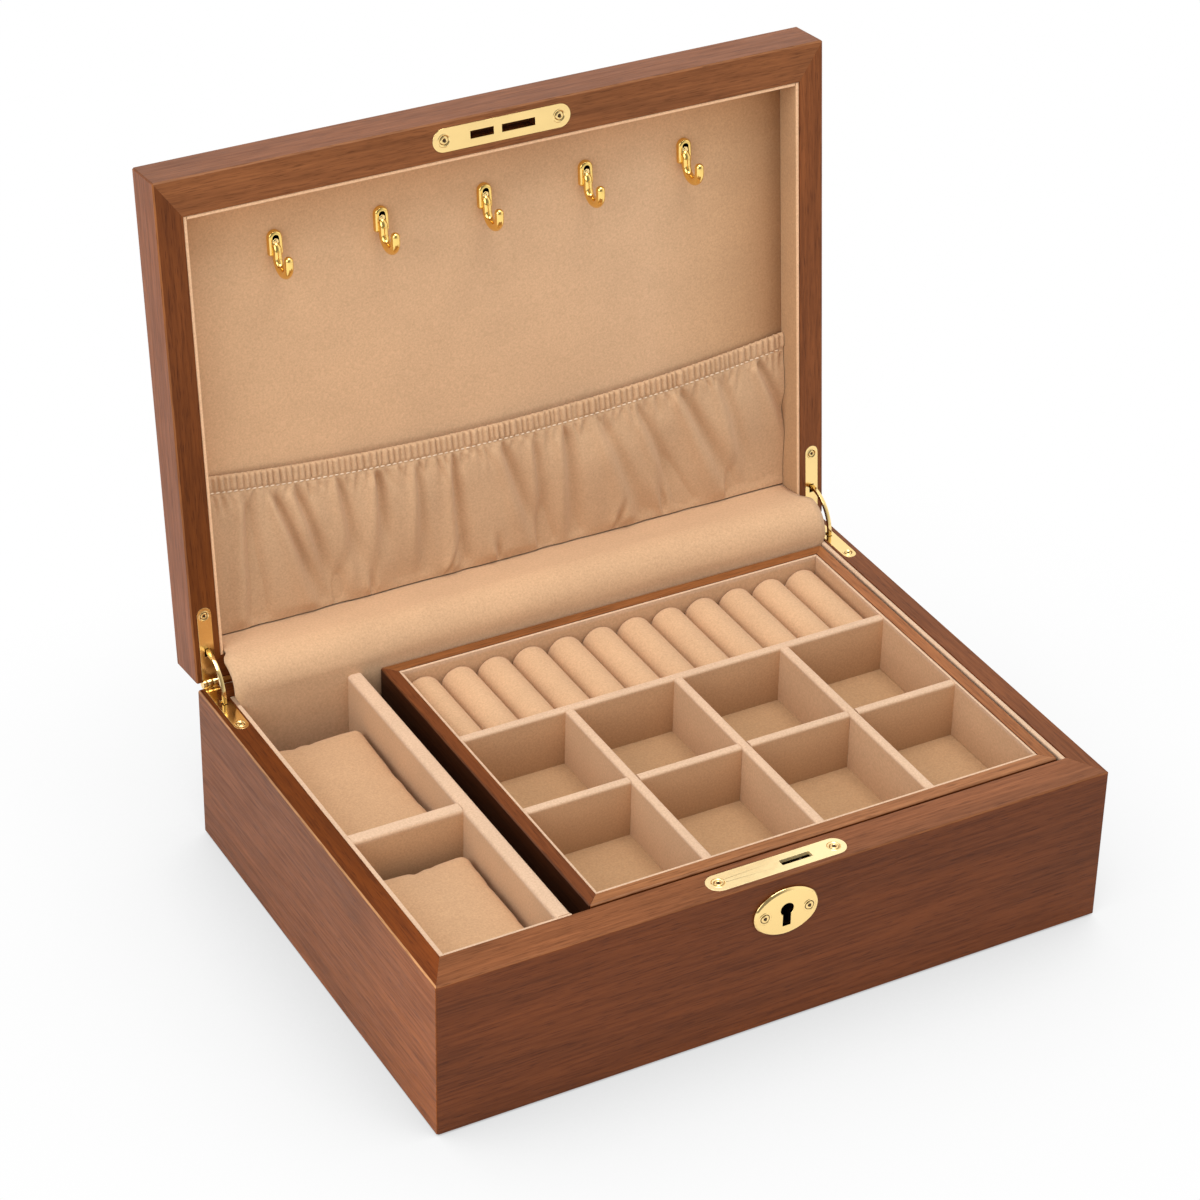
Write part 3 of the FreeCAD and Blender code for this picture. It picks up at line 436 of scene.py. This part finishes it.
def swell(obj, held, cap):
    """Blow a closed piece up as cloth, then keep each point within cap, in mm, of where it started."""
    voxel, pressure, steps = 2.2 * MM, 4.0, 20
    remesh = obj.modifiers.new("remesh", "REMESH")
    remesh.mode = "VOXEL"
    remesh.voxel_size = voxel
    shape = bpy.data.meshes.new_from_object(obj.evaluated_get(bpy.context.evaluated_depsgraph_get()))
    shape.materials.clear()
    shape.materials.append(obj.data.materials[0])
    obj.modifiers.clear()
    obj.data = shape
    group = obj.vertex_groups.new(name="held")
    start = [vertex.co.copy() for vertex in shape.vertices]
    for index, place in enumerate(start):
        group.add([index], held(place / MM), "REPLACE")
    cloth = obj.modifiers.new("cloth", "CLOTH")
    cloth.settings.use_pressure = True
    cloth.settings.uniform_pressure_force = pressure
    cloth.settings.vertex_group_mass = "held"
    cloth.settings.effector_weights.gravity = 0.0
    for number in range(1, steps + 1):
        bpy.context.scene.frame_set(number)
    blown = obj.evaluated_get(bpy.context.evaluated_depsgraph_get()).data
    moved = [vertex.co.copy() for vertex in blown.vertices]
    obj.modifiers.clear()
    bpy.context.scene.frame_set(1)
    for vertex, old, new in zip(shape.vertices, start, moved):
        step = new - old
        if step.length > cap * MM:
            step *= cap * MM / step.length
        vertex.co = old + step
    shape.polygons.foreach_set("use_smooth", [True] * len(shape.polygons))


def pillow(name, node, body, seed):
    """A boxed cushion: flat seat, crowned top, and soft creases along its top seam."""
    low, high = (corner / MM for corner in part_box(node))
    middle = (low + high) / 2
    room = Vector((0.3, 3.2, 1.6))
    half = (high - low) / 2 - room
    radius, n = 3.6, 34
    crown, ears, pull_in = 2.4, 0.9, 0.020
    crease, crease_width = 0.85, 0.055
    creases = random.Random(seed)
    folds = [[creases.uniform(-0.8, 0.8) for _ in range(4)] for _ in range(4)]
    points, index, faces = [], {}, []

    def vertex(u, v, w):
        key = (u, v, w)
        if key not in index:
            q = Vector((2 * u / n - 1, 2 * v / n - 1, 2 * w / n - 1))
            p = Vector((q.x * half.x, q.y * half.y, q.z * half.z))
            core = Vector([max(-h + radius, min(h - radius, c)) for c, h in zip(p, half)])
            outward = p - core
            p = core + outward.normalized() * radius if outward.length > 1e-9 else p
            rise = smoothstep(-0.3, 0.9, q.z)
            corner = (abs(q.x) * abs(q.y)) ** 2
            p.x *= 1 - pull_in * (1 - q.y * q.y) * rise
            p.y *= 1 - pull_in * (1 - q.x * q.x) * rise
            p.z += (crown * (1 - q.x * q.x) * (1 - q.y * q.y) + ears * corner) * rise
            for side, (across, along) in enumerate(((q.x, q.y), (-q.x, q.y), (q.y, q.x), (-q.y, q.x))):
                near = smoothstep(0.35, 0.98, across) * rise
                for fold in folds[side]:
                    away = (along - fold + 0.25 * (1 - across)) / crease_width
                    p.z -= crease * near * math.exp(-away ** 2)
            p.z = max(p.z, -half.z)
            index[key] = len(points)
            points.append((Vector((middle.x, middle.y, low.z + half.z)) + p) * MM)
        return index[key]

    for axis in range(3):
        for side in (0, n):
            for i in range(n):
                for j in range(n):
                    corners = []
                    for di, dj in ((0, 0), (1, 0), (1, 1), (0, 1)):
                        key = [i + di, j + dj]
                        key.insert(axis, side)
                        corners.append(vertex(*key))
                    flip = (side == 0) != (axis == 1)
                    faces.append(tuple(reversed(corners)) if flip else tuple(corners))
    obj = piece(name, points, faces, suede_pillow)
    seam = low.z + 2 * half.z - radius

    def held(place):
        """How firmly a point is held: along the top seam, and on the seat."""
        near = max(abs(place.x - middle.x) / half.x, abs(place.y - middle.y) / half.y)
        on_seam = smoothstep(0.86, 0.97, near) * smoothstep(-4.0, -1.0, place.z - seam)
        return max(on_seam, smoothstep(1.5, 0.2, place.z - low.z))

    swell(obj, held, cap=2.0)
    obj.modifiers.new("smooth", "SUBSURF").levels = 1
    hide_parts(node)
    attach(obj, body)


pillow("pillow_rear", "watch_pillow_rear", "pillow_rear", 3)
pillow("pillow_front", "watch_pillow_front", "pillow_front", 8)


# Ring rolls

def ring_rolls():
    """Twelve padded half-round rolls, each with straight sides down to the tray and rounded ends."""
    low, high = (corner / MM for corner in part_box("ring_rolls"))
    count, gap, round_end = 12, 0.4, 2.1
    pitch = (high.x - low.x + gap) / count
    radius = (pitch - gap) / 2
    spring = high.z - radius
    points, faces = [], []
    length = high.y - low.y
    ends = [0.0, 0.25, 0.7, 1.3, round_end]
    stations = ends + [4 + 4 * k for k in range(10)] + [length - s for s in reversed(ends)]
    around = 28
    for index in range(count):
        x = low.x + radius + index * pitch
        start = len(points)
        columns = around + 3
        for s in stations:
            short = round_end - min(round_end, min(s, length - s))
            inset = round_end - math.sqrt(max(0.0, round_end ** 2 - short ** 2))
            r = radius - inset
            sag = 0.15 * noise.noise(Vector((index * 3.3, s * 0.06, 1.0)))
            ring = [Vector((x + r, low.y + s, low.z))]
            for k in range(around + 1):
                angle = math.pi * k / around
                ring.append(Vector((x + r * math.cos(angle), low.y + s,
                                    spring + sag * math.sin(angle) + r * math.sin(angle))))
            ring.append(Vector((x - r, low.y + s, low.z)))
            points += [p * MM for p in ring]
        faces += [tuple(reversed(f)) for f in grid_faces(len(stations), columns, start, wrap=True)]
        faces.append(tuple(range(start, start + columns)))
        last = start + (len(stations) - 1) * columns
        faces.append(tuple(reversed(range(last, last + columns))))
    obj = piece("ring_rolls_soft", points, faces, suede_soft)
    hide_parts("ring_rolls")
    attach(obj, "tray")


ring_rolls()


# Padded roll over the hinge line

def hinge_roll():
    """One cloth from the foot of the back lining, up over the hinge line and on to the lid's board."""
    low, high = (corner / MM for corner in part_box("hinge_roll"))
    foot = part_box("lining_back")[0].z / MM + 0.3
    lid_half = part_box("lid_pocket")[1].x / MM
    back_half = -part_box("lining_back")[0].x / MM - 0.1
    lid_face = 106.2
    radius, thick, fall, skin = 12.5, 1.6, math.radians(8.6), 0.25
    centre_y, centre_z = low.y + radius, 72.0
    climb, arc, shelf = 16, 24, 12
    line = []
    for k in range(climb):
        z = foot + (centre_z - foot) * k / climb
        line.append((low.y - skin * smoothstep(centre_z, low.z - 6, z), z, -1.0, 0.0))
    for k in range(arc + 1):
        angle = math.pi - (math.pi / 2 + fall) * k / arc
        line.append((centre_y + radius * math.cos(angle), centre_z + radius * math.sin(angle),
                     math.cos(angle), math.sin(angle)))
    y0, z0 = line[-1][:2]
    for k in range(1, shelf + 1):
        y = y0 + (high.y - y0) * k / shelf
        line.append((y, z0 - (y - y0) * math.tan(fall), math.sin(fall), math.cos(fall)))
    columns = len(line)
    across = 97
    points, faces = [], []
    for layer in (0, 1):
        for i in range(across):
            share = 2 * i / (across - 1) - 1
            for k, (y, z, ny, nz) in enumerate(line):
                half = high.x + (lid_half - high.x) * smoothstep(lid_face - 6.5, lid_face + 0.5, y)
                if z < low.z:
                    half = back_half
                depth = layer * (thick if z > low.z else skin / 2)
                give = smoothstep(low.z, low.z + 6, z) * smoothstep(high.y, high.y - 4, y)
                x = half * share
                soft = 0.35 * noise.noise(Vector((x * 0.022, k * 0.10, 4.0))) * give
                soft -= 0.5 * smoothstep(0.965, 1.0, abs(share)) * give
                points.append(Vector((x, y - ny * (depth - soft), z - nz * (depth - soft))) * MM)
    faces += [tuple(reversed(f)) for f in grid_faces(across, columns)]
    second = across * columns
    faces += grid_faces(across, columns, second)
    for k in range(columns - 1):
        faces.append((k, k + 1, second + k + 1, second + k))
        e = (across - 1) * columns
        faces.append((e + k + 1, e + k, second + e + k, second + e + k + 1))
    for i in range(across - 1):
        a, b = i * columns, (i + 1) * columns
        faces.append((b, a, second + a, second + b))
        a, b = a + columns - 1, b + columns - 1
        faces.append((a, b, second + b, second + a))
    obj = piece("hinge_roll_soft", points, faces, suede_soft)
    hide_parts("hinge_roll")
    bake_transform(obj)


hinge_roll()


# Gathered pocket in the lid

def pocket():
    """Cloth drawn up on elastic: a ribbed hem, a line of stitches and folds that fade downwards."""
    half, foot_y, thick, hem = 132.1, 93.4, 1.2, 6.8
    mouth_y, dip, rib_pitch, reach = 23.0, 8.0, 2.6, 3.5
    draw = random.Random(21)
    # Folds that fall from the hem, short then long: place, size, length, slant, width.
    folds = []
    x = -half + 3
    while x < half - 2:
        folds.append((x, draw.uniform(0.5, 1.1), draw.uniform(5, 15), draw.uniform(-0.2, 0.25),
                      draw.uniform(0.8, 1.3)))
        x += draw.uniform(2.8, 6.0)
    x = -half + 16
    while x < half - 12:
        folds.append((x, draw.uniform(2.0, 3.6), draw.uniform(40, 130), draw.uniform(-0.05, 0.42),
                      draw.uniform(1.6, 2.6)))
        x += draw.uniform(9.0, 22.0)
    # Folds that rise from the foot: place, size, length, slant.
    tucks = []
    x = -half + 20
    while x < half - 10:
        tucks.append((x, draw.uniform(1.2, 2.6), draw.uniform(16, 40), draw.uniform(-0.35, 0.5)))
        x += draw.uniform(14.0, 38.0)

    def mouth(x):
        """Where the pocket's top edge lies, which dips in the middle."""
        return mouth_y + dip * (1 - (x / half) ** 2)

    def rib(x):
        """The elastic's small gathers, uneven in width and size."""
        u = x / rib_pitch + 0.8 * noise.noise(Vector((x * 0.05, 9.0, 0.0)))
        u += 0.35 * noise.noise(Vector((x * 0.23, 4.0, 0.0)))
        size = 0.8 + 0.55 * noise.noise(Vector((math.floor(u) * 1.7, 2.0, 0.0)))
        return size * abs(math.sin(math.pi * u)) ** 0.7

    def fold(away):
        """A fold across its width: a soft ridge, and a hollow beside it."""
        return 0.7 * math.exp(-away * away) - math.exp(-(away - 1.3) ** 2)

    def height(x, d):
        """How far the cloth's face stands off the lid's board, d below the mouth."""
        share = x / half
        full = 0.45 + 0.55 * (1 - share * share)
        t = d / (foot_y - mouth(x))
        top, belly, foot = 2.4 * full + thick, 3.6 * full + thick, 0.3 + thick
        h = top * (1 - t) * (1 - 2 * t) + 4 * belly * t * (1 - t) + foot * t * (2 * t - 1)
        in_hem = smoothstep(0.0, 1.2, d) * (1 - smoothstep(hem - 0.9, hem, d))
        h += (0.35 + 1.75 * in_hem) * (rib(x) - 0.5) * (1 - smoothstep(hem, hem + 2.2, d))
        h -= 0.55 * math.exp(-((d - hem) / 0.7) ** 2)
        below = d - hem
        if below > 0:
            fade = 1 - 0.8 * smoothstep(0.92, 1.0, t)
            for place, size, length, slant, width in folds:
                spread = width + 0.045 * below
                away = (x - place - slant * below) / spread
                if abs(away) < reach:
                    strength = size * smoothstep(0.0, 2.5 + 0.07 * length, below)
                    strength *= 1 - smoothstep(0.4 * length, length, below)
                    h += strength * fade * fold(away)
            up = foot_y - mouth(x) - d
            for place, size, length, slant in tucks:
                away = (x - place + slant * up) / (1.1 + 0.13 * up)
                if abs(away) < reach:
                    strength = size * smoothstep(-0.5, 5.0, up) * (1 - smoothstep(0.2 * length, length, up))
                    h += strength * fold(away)
            slow = noise.noise(Vector((x * 0.045, d * 0.022, 2.2)))
            h += 2.6 * slow * smoothstep(2.0, 22.0, below) * fade
        return max(h, 0.5)

    body_rows = 50
    steps = [0.0, 0.2, 0.5, 0.9] + [1.4 + 0.55 * k for k in range(19)]
    behind = [8.0, 4.0, 1.5, 0.5, 0.1]
    columns = 745
    across = [half * (2 * j / (columns - 1) - 1) for j in range(columns)]
    points = []
    for d in behind:
        for x in across:
            h = max(0.35, height(x, 2.0) - thick - 0.25 * (rib(x) - 0.5))
            points.append(in_lid(x, mouth(x) + d - 0.25 * rib(x) * smoothstep(1.5, 0.0, d), LID_PANEL - h))
    for k in range(len(steps) + body_rows):
        for x in across:
            length = foot_y - mouth(x)
            if k < len(steps):
                d = steps[k]
            else:
                d = steps[-1] + (length - steps[-1]) * (k - len(steps) + 1) / body_rows
            rolled = thick * 0.5 * (1 - smoothstep(0.0, 0.9, d))
            lift = 0.35 * rib(x) * (1 - smoothstep(0.0, 1.5, d))
            points.append(in_lid(x, mouth(x) + d - lift, LID_PANEL - height(x, d) + rolled))
    faces = grid_faces(len(behind) + len(steps) + body_rows, columns)
    obj = piece("pocket_cloth", points, faces, suede_flat)
    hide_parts("lid_pocket")
    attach(obj, "lid")

    # Stitches along the hem's lower edge.
    rings, sides, gap = 5, 6, 0.9
    points, faces = [], []
    x = -half + 1.0
    while x < half - 2.5:
        length = 1.4 + 0.4 * draw.random()
        centre_x = x + length / 2
        d = hem + 0.1
        start = len(points)
        for k in range(rings):
            place = x + length * k / (rings - 1)
            size = 0.12 + 0.21 * math.sin(math.pi * (0.12 + 0.76 * k / (rings - 1)))
            for m in range(sides):
                angle = 2 * math.pi * m / sides
                points.append(in_lid(place, mouth(centre_x) + d + size * math.cos(angle),
                                     LID_PANEL - height(centre_x, d) - 0.42 - size * math.sin(angle)))
        faces += grid_faces(rings, sides, start, wrap=True)
        faces.append(tuple(reversed(range(start, start + sides))))
        faces.append(tuple(range(start + (rings - 1) * sides, start + rings * sides)))
        x += length + gap
    stitches = piece("pocket_stitches", points, faces, thread)
    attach(stitches, "lid")


pocket()


# Necklace hooks

def hooks():
    """Five hooks: a plate with rounded edges, and a round bar that leaves it and turns up to a ball end."""
    top, half, length, thick = -72.2, 3.0, 10.4, 2.2
    bar, start, turn, stand, bend, rise = 1.85, 5.6, 10.4, 0.4, 5.3, 1.8
    edge = [(0.0, 0.0), (0.0, 1.1), (0.12, 1.6), (0.42, 2.0), (0.85, thick), (1.6, thick)]
    outline = [(-half, length - 0.8), (-half + 0.25, length - 0.25), (-half + 0.8, length)]
    outline += [(-x, y) for x, y in reversed(outline)]
    angles = [math.pi * k / 18 for k in range(19)]
    outline += [(half * math.cos(angle), half - half * math.sin(angle)) for angle in angles]
    path = [(start + 0.3 * k, thick + stand - (1.0 - 0.15 * k) * bar) for k in range(4)]
    path += [(a, thick + stand) for a in (7.4, 8.4, 9.4)]
    centre = thick + stand + bend
    for k in range(25):
        angle = math.pi * k / 24
        path.append((turn + bend * math.sin(angle), centre - bend * math.cos(angle)))
    path.append((turn - rise / 2, centre + bend))
    radii = [bar] * len(path)
    for k in range(7):
        angle = math.pi / 2 * k / 6.2
        path.append((turn - rise - bar * math.sin(angle), centre + bend))
        radii.append(bar * math.cos(angle))
    around = 20
    points, faces = [], []
    for x in HOOKS_X:
        begin = len(points)
        for inset, height in edge:
            for u, v in outline:
                away = Vector((u, v - min(max(v, half), length - half))).normalized()
                points.append(in_lid(x + u - away.x * inset, top + v - away.y * inset, LID_PANEL - height))
        count = len(outline)
        faces += [tuple(reversed(f)) for f in grid_faces(len(edge), count, begin, wrap=True)]
        faces.append(tuple(range(begin + (len(edge) - 1) * count, begin + len(edge) * count)))
        begin = len(points)
        for k, (a, out) in enumerate(path):
            before, after = path[max(0, k - 1)], path[min(len(path) - 1, k + 1)]
            ahead = Vector((after[0] - before[0], after[1] - before[1])).normalized()
            for m in range(around):
                angle = 2 * math.pi * m / around
                u, w = radii[k] * math.cos(angle), radii[k] * math.sin(angle)
                points.append(in_lid(x + u, top + a - w * ahead.y, LID_PANEL - out - w * ahead.x))
        faces += grid_faces(len(path), around, begin, wrap=True)
        faces.append(tuple(reversed(range(begin, begin + around))))
        last = begin + (len(path) - 1) * around
        faces.append(tuple(range(last, last + around)))
    obj = piece("hooks", points, faces, hook_brass)
    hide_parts("necklace_hooks")
    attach(obj, "lid")


hooks()


# Screws

# Heads as (share of the radius, height over the plate): sunk in a countersink, or standing on the plate.
SUNK = [(0.26, -0.06), (0.34, 0.06), (0.46, 0.09), (0.56, 0.0), (0.60, -0.22), (0.72, -0.22), (0.76, 0.06),
        (0.86, 0.10), (0.95, 0.07), (1.0, -0.03)]
BUTTON = [(0.12, 0.32), (0.22, 0.38), (0.62, 0.32), (0.88, 0.16), (1.0, -0.03)]
RAISED = [(0.26, 0.16), (0.34, 0.32), (0.46, 0.36), (0.56, 0.26), (0.60, 0.06), (0.72, 0.06), (0.76, 0.18),
          (0.86, 0.22), (0.95, 0.16), (1.0, -0.03)]


def screws(name, body, places):
    """Brass screw heads with a ring groove and a socket, each (to_space, centre, out, radius, profile);
    dark sheets in the groove and the socket are painted shade.
    """
    points, faces, shade_points, shade_faces = [], [], [], []
    turn = random.Random(name)
    around = 32
    for to_space, centre, out, radius, profile in places:
        centre, out = Vector(centre), Vector(out)
        side = out.orthogonal().normalized()
        other = out.cross(side)

        def ring(share, lift, count=around, start=0.0):
            angles = [start + 2 * math.pi * k / count for k in range(count)]
            spokes = [side * math.cos(angle) + other * math.sin(angle) for angle in angles]
            return [to_space(*(centre + out * lift + spoke * radius * share)) for spoke in spokes]

        start = len(points)
        for share, lift in profile:
            points += ring(share, lift)
        faces += [tuple(reversed(f)) for f in grid_faces(len(profile), around, start, wrap=True)]
        # Dark sheets of painted shade: a ring in the groove, and a hexagon over the socket.
        if profile is not BUTTON:
            groove = profile[4][1] + 0.03
            begin = len(shade_points)
            shade_points += ring(0.59, groove) + ring(0.70, groove)
            shade_faces += [tuple(reversed(f)) for f in grid_faces(2, around, begin, wrap=True)]
        begin = len(shade_points)
        shade_points += ring(1.12 * profile[0][0], profile[0][1] + 0.03, 6, turn.uniform(0, math.pi))
        shade_faces.append(tuple(range(begin, begin + 6)))
    heads = piece("screws_" + name, points, faces, brass)
    sockets_shaded = piece("painted_socket_shade_" + name, shade_points, shade_faces, dark_shade, smooth=False)
    for obj in (heads, sockets_shaded):
        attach(obj, body)


# Places and radii of the screws on the hinges, the lock plates, the keyhole plate and the hooks.
HINGES_X, HINGE_SCREW_Y = (-139.5, 139.5), 76.6
LOCKS_X, LOCK_SCREW_Y = (-25, 25), -98.25
KEYS_X, KEY_FACE_Y, KEY_Z = (-9.6, 9.6), -107.5, 53.0
HOOK_SCREW_Y, HOOK_FACE = -67.8, 80.1
HINGE_SCREW, LOCK_SCREW, KEY_SCREW, HOOK_SCREW = 2.3, 2.9, 2.8, 1.3
base_screws = [(in_base, (x, HINGE_SCREW_Y, BASE_RIM), UP, HINGE_SCREW, SUNK) for x in HINGES_X]
base_screws += [(in_base, (x, LOCK_SCREW_Y, BASE_RIM), UP, LOCK_SCREW, SUNK) for x in LOCKS_X]
base_screws += [(in_base, (x, KEY_FACE_Y, KEY_Z), FRONT, KEY_SCREW, RAISED) for x in KEYS_X]
lid_screws = [(in_lid, (x, HINGE_SCREW_Y, LID_RIM), DOWN, HINGE_SCREW, SUNK) for x in HINGES_X]
lid_screws += [(in_lid, (x, LOCK_SCREW_Y, LID_RIM), DOWN, LOCK_SCREW, SUNK) for x in LOCKS_X]
lid_screws += [(in_lid, (x, HOOK_SCREW_Y, HOOK_FACE), DOWN, HOOK_SCREW, BUTTON) for x in HOOKS_X]
screws("base", "base", base_screws)
screws("lid", "lid", lid_screws)


# Studio: a white floor with a painted shadow close to the box, two soft lamps and a pale room

floor_mesh = bpy.data.meshes.new("floor")
floor_mesh.from_pydata([(-6, -6, 0), (6, -6, 0), (6, 6, 0), (-6, 6, 0)], [], [(0, 1, 2, 3)])
paper, paper_tree, paper_shader = new_material("floor")
paper_shader.inputs["Base Color"].default_value = (0.86, 0.86, 0.86, 1.0)
paper_shader.inputs["Roughness"].default_value = 1.0
paper_shader.inputs["Specular IOR Level"].default_value = 0.0
# Camera rays see the floor glow white, with a painted contact shadow from ambient occlusion near the box;
# other rays see plain paper.
painted_shadow_ao = add(paper_tree, "ShaderNodeAmbientOcclusion", samples=16, Distance=0.18)
white = add(paper_tree, "ShaderNodeEmission")
near = [(0.0, (0.35,) * 3), (0.45, (0.74,) * 3), (0.75, (0.93,) * 3), (0.97, (1.0,) * 3)]
paper_tree.links.new(ramp(paper_tree, painted_shadow_ao.outputs["AO"], near), white.inputs["Color"])
seen = add(paper_tree, "ShaderNodeMixShader")
paper_tree.links.new(add(paper_tree, "ShaderNodeLightPath").outputs["Is Camera Ray"], seen.inputs[0])
paper_tree.links.new(paper_shader.outputs["BSDF"], seen.inputs[1])
paper_tree.links.new(white.outputs["Emission"], seen.inputs[2])
paper_tree.links.new(seen.outputs["Shader"], paper_tree.nodes["Material Output"].inputs["Surface"])
floor_mesh.materials.append(paper)
floor = bpy.data.objects.new("floor", floor_mesh)
floor.location.z = -0.0002
bpy.context.scene.collection.objects.link(floor)


def area(name, place, aim, size, power, color=AS_IS):
    """A rectangular lamp that points at aim."""
    data = bpy.data.lights.new(name, "AREA")
    data.shape = "RECTANGLE"
    data.size, data.size_y = size
    data.energy = power
    data.color = color
    lamp = bpy.data.objects.new(name, data)
    lamp.location = place
    lamp.rotation_euler = (Vector(aim) - Vector(place)).to_track_quat("-Z", "Y").to_euler()
    bpy.context.scene.collection.objects.link(lamp)


BOX_MIDDLE = (0.0, 0.0, 0.08)
area("key", (0.05, -0.25, 2.3), BOX_MIDDLE, size=(1.4, 1.4), power=32.0, color=(1.0, 0.985, 0.965))
area("left", (-1.9, -0.5, 1.2), BOX_MIDDLE, size=(1.5, 1.5), power=18.5)

world = bpy.data.worlds.new("studio")
bpy.context.scene.world = world
world.use_nodes = True
sky_tree = world.node_tree
sky = sky_tree.nodes["Background"]
sky.inputs["Color"].default_value = (1.0, 0.995, 0.99, 1.0)
# Reflections show a pale room with a warm dark side; all other light from it is even.
toward = add(sky_tree, "ShaderNodeVectorMath", operation="DOT_PRODUCT")
toward.inputs[1].default_value = (-0.45, -0.75, 0.48)
sky_tree.links.new(add(sky_tree, "ShaderNodeTexCoord").outputs["Generated"], toward.inputs[0])
mirrored = ramp(sky_tree, toward.outputs["Value"], [(0.35, (1.15, 1.15, 1.15)), (0.80, (0.36, 0.25, 0.13))])
glossy = add(sky_tree, "ShaderNodeLightPath").outputs["Is Glossy Ray"]
sky_tree.links.new(mix(sky_tree, glossy, (0.635,) * 3, mirrored), sky.inputs["Strength"])


# Camera

azimuth, elevation, roll = math.radians(-29.147), math.radians(32.629), math.radians(1.148)
back = Vector((math.sin(azimuth) * math.cos(elevation), -math.cos(azimuth) * math.cos(elevation),
               math.sin(elevation)))
right = (-back).cross(Vector(UP)).normalized()
up = back.cross(right)
side = right * math.cos(roll) + up * math.sin(roll)
top = up * math.cos(roll) - right * math.sin(roll)
aim, distance = Vector((0.0, 0.04038, 0.10646)), 1.4634
eye = aim + back * distance
camera_data = bpy.data.cameras.new("camera")
camera_data.lens = 111.536
camera_data.sensor_width = 36.0
camera = bpy.data.objects.new("camera", camera_data)
camera.matrix_world = Matrix((
    (side.x, top.x, back.x, eye.x),
    (side.y, top.y, back.y, eye.y),
    (side.z, top.z, back.z, eye.z),
    (0, 0, 0, 1)))
bpy.context.scene.collection.objects.link(camera)
bpy.context.scene.camera = camera
bpy.context.scene.view_settings.view_transform = "Standard"
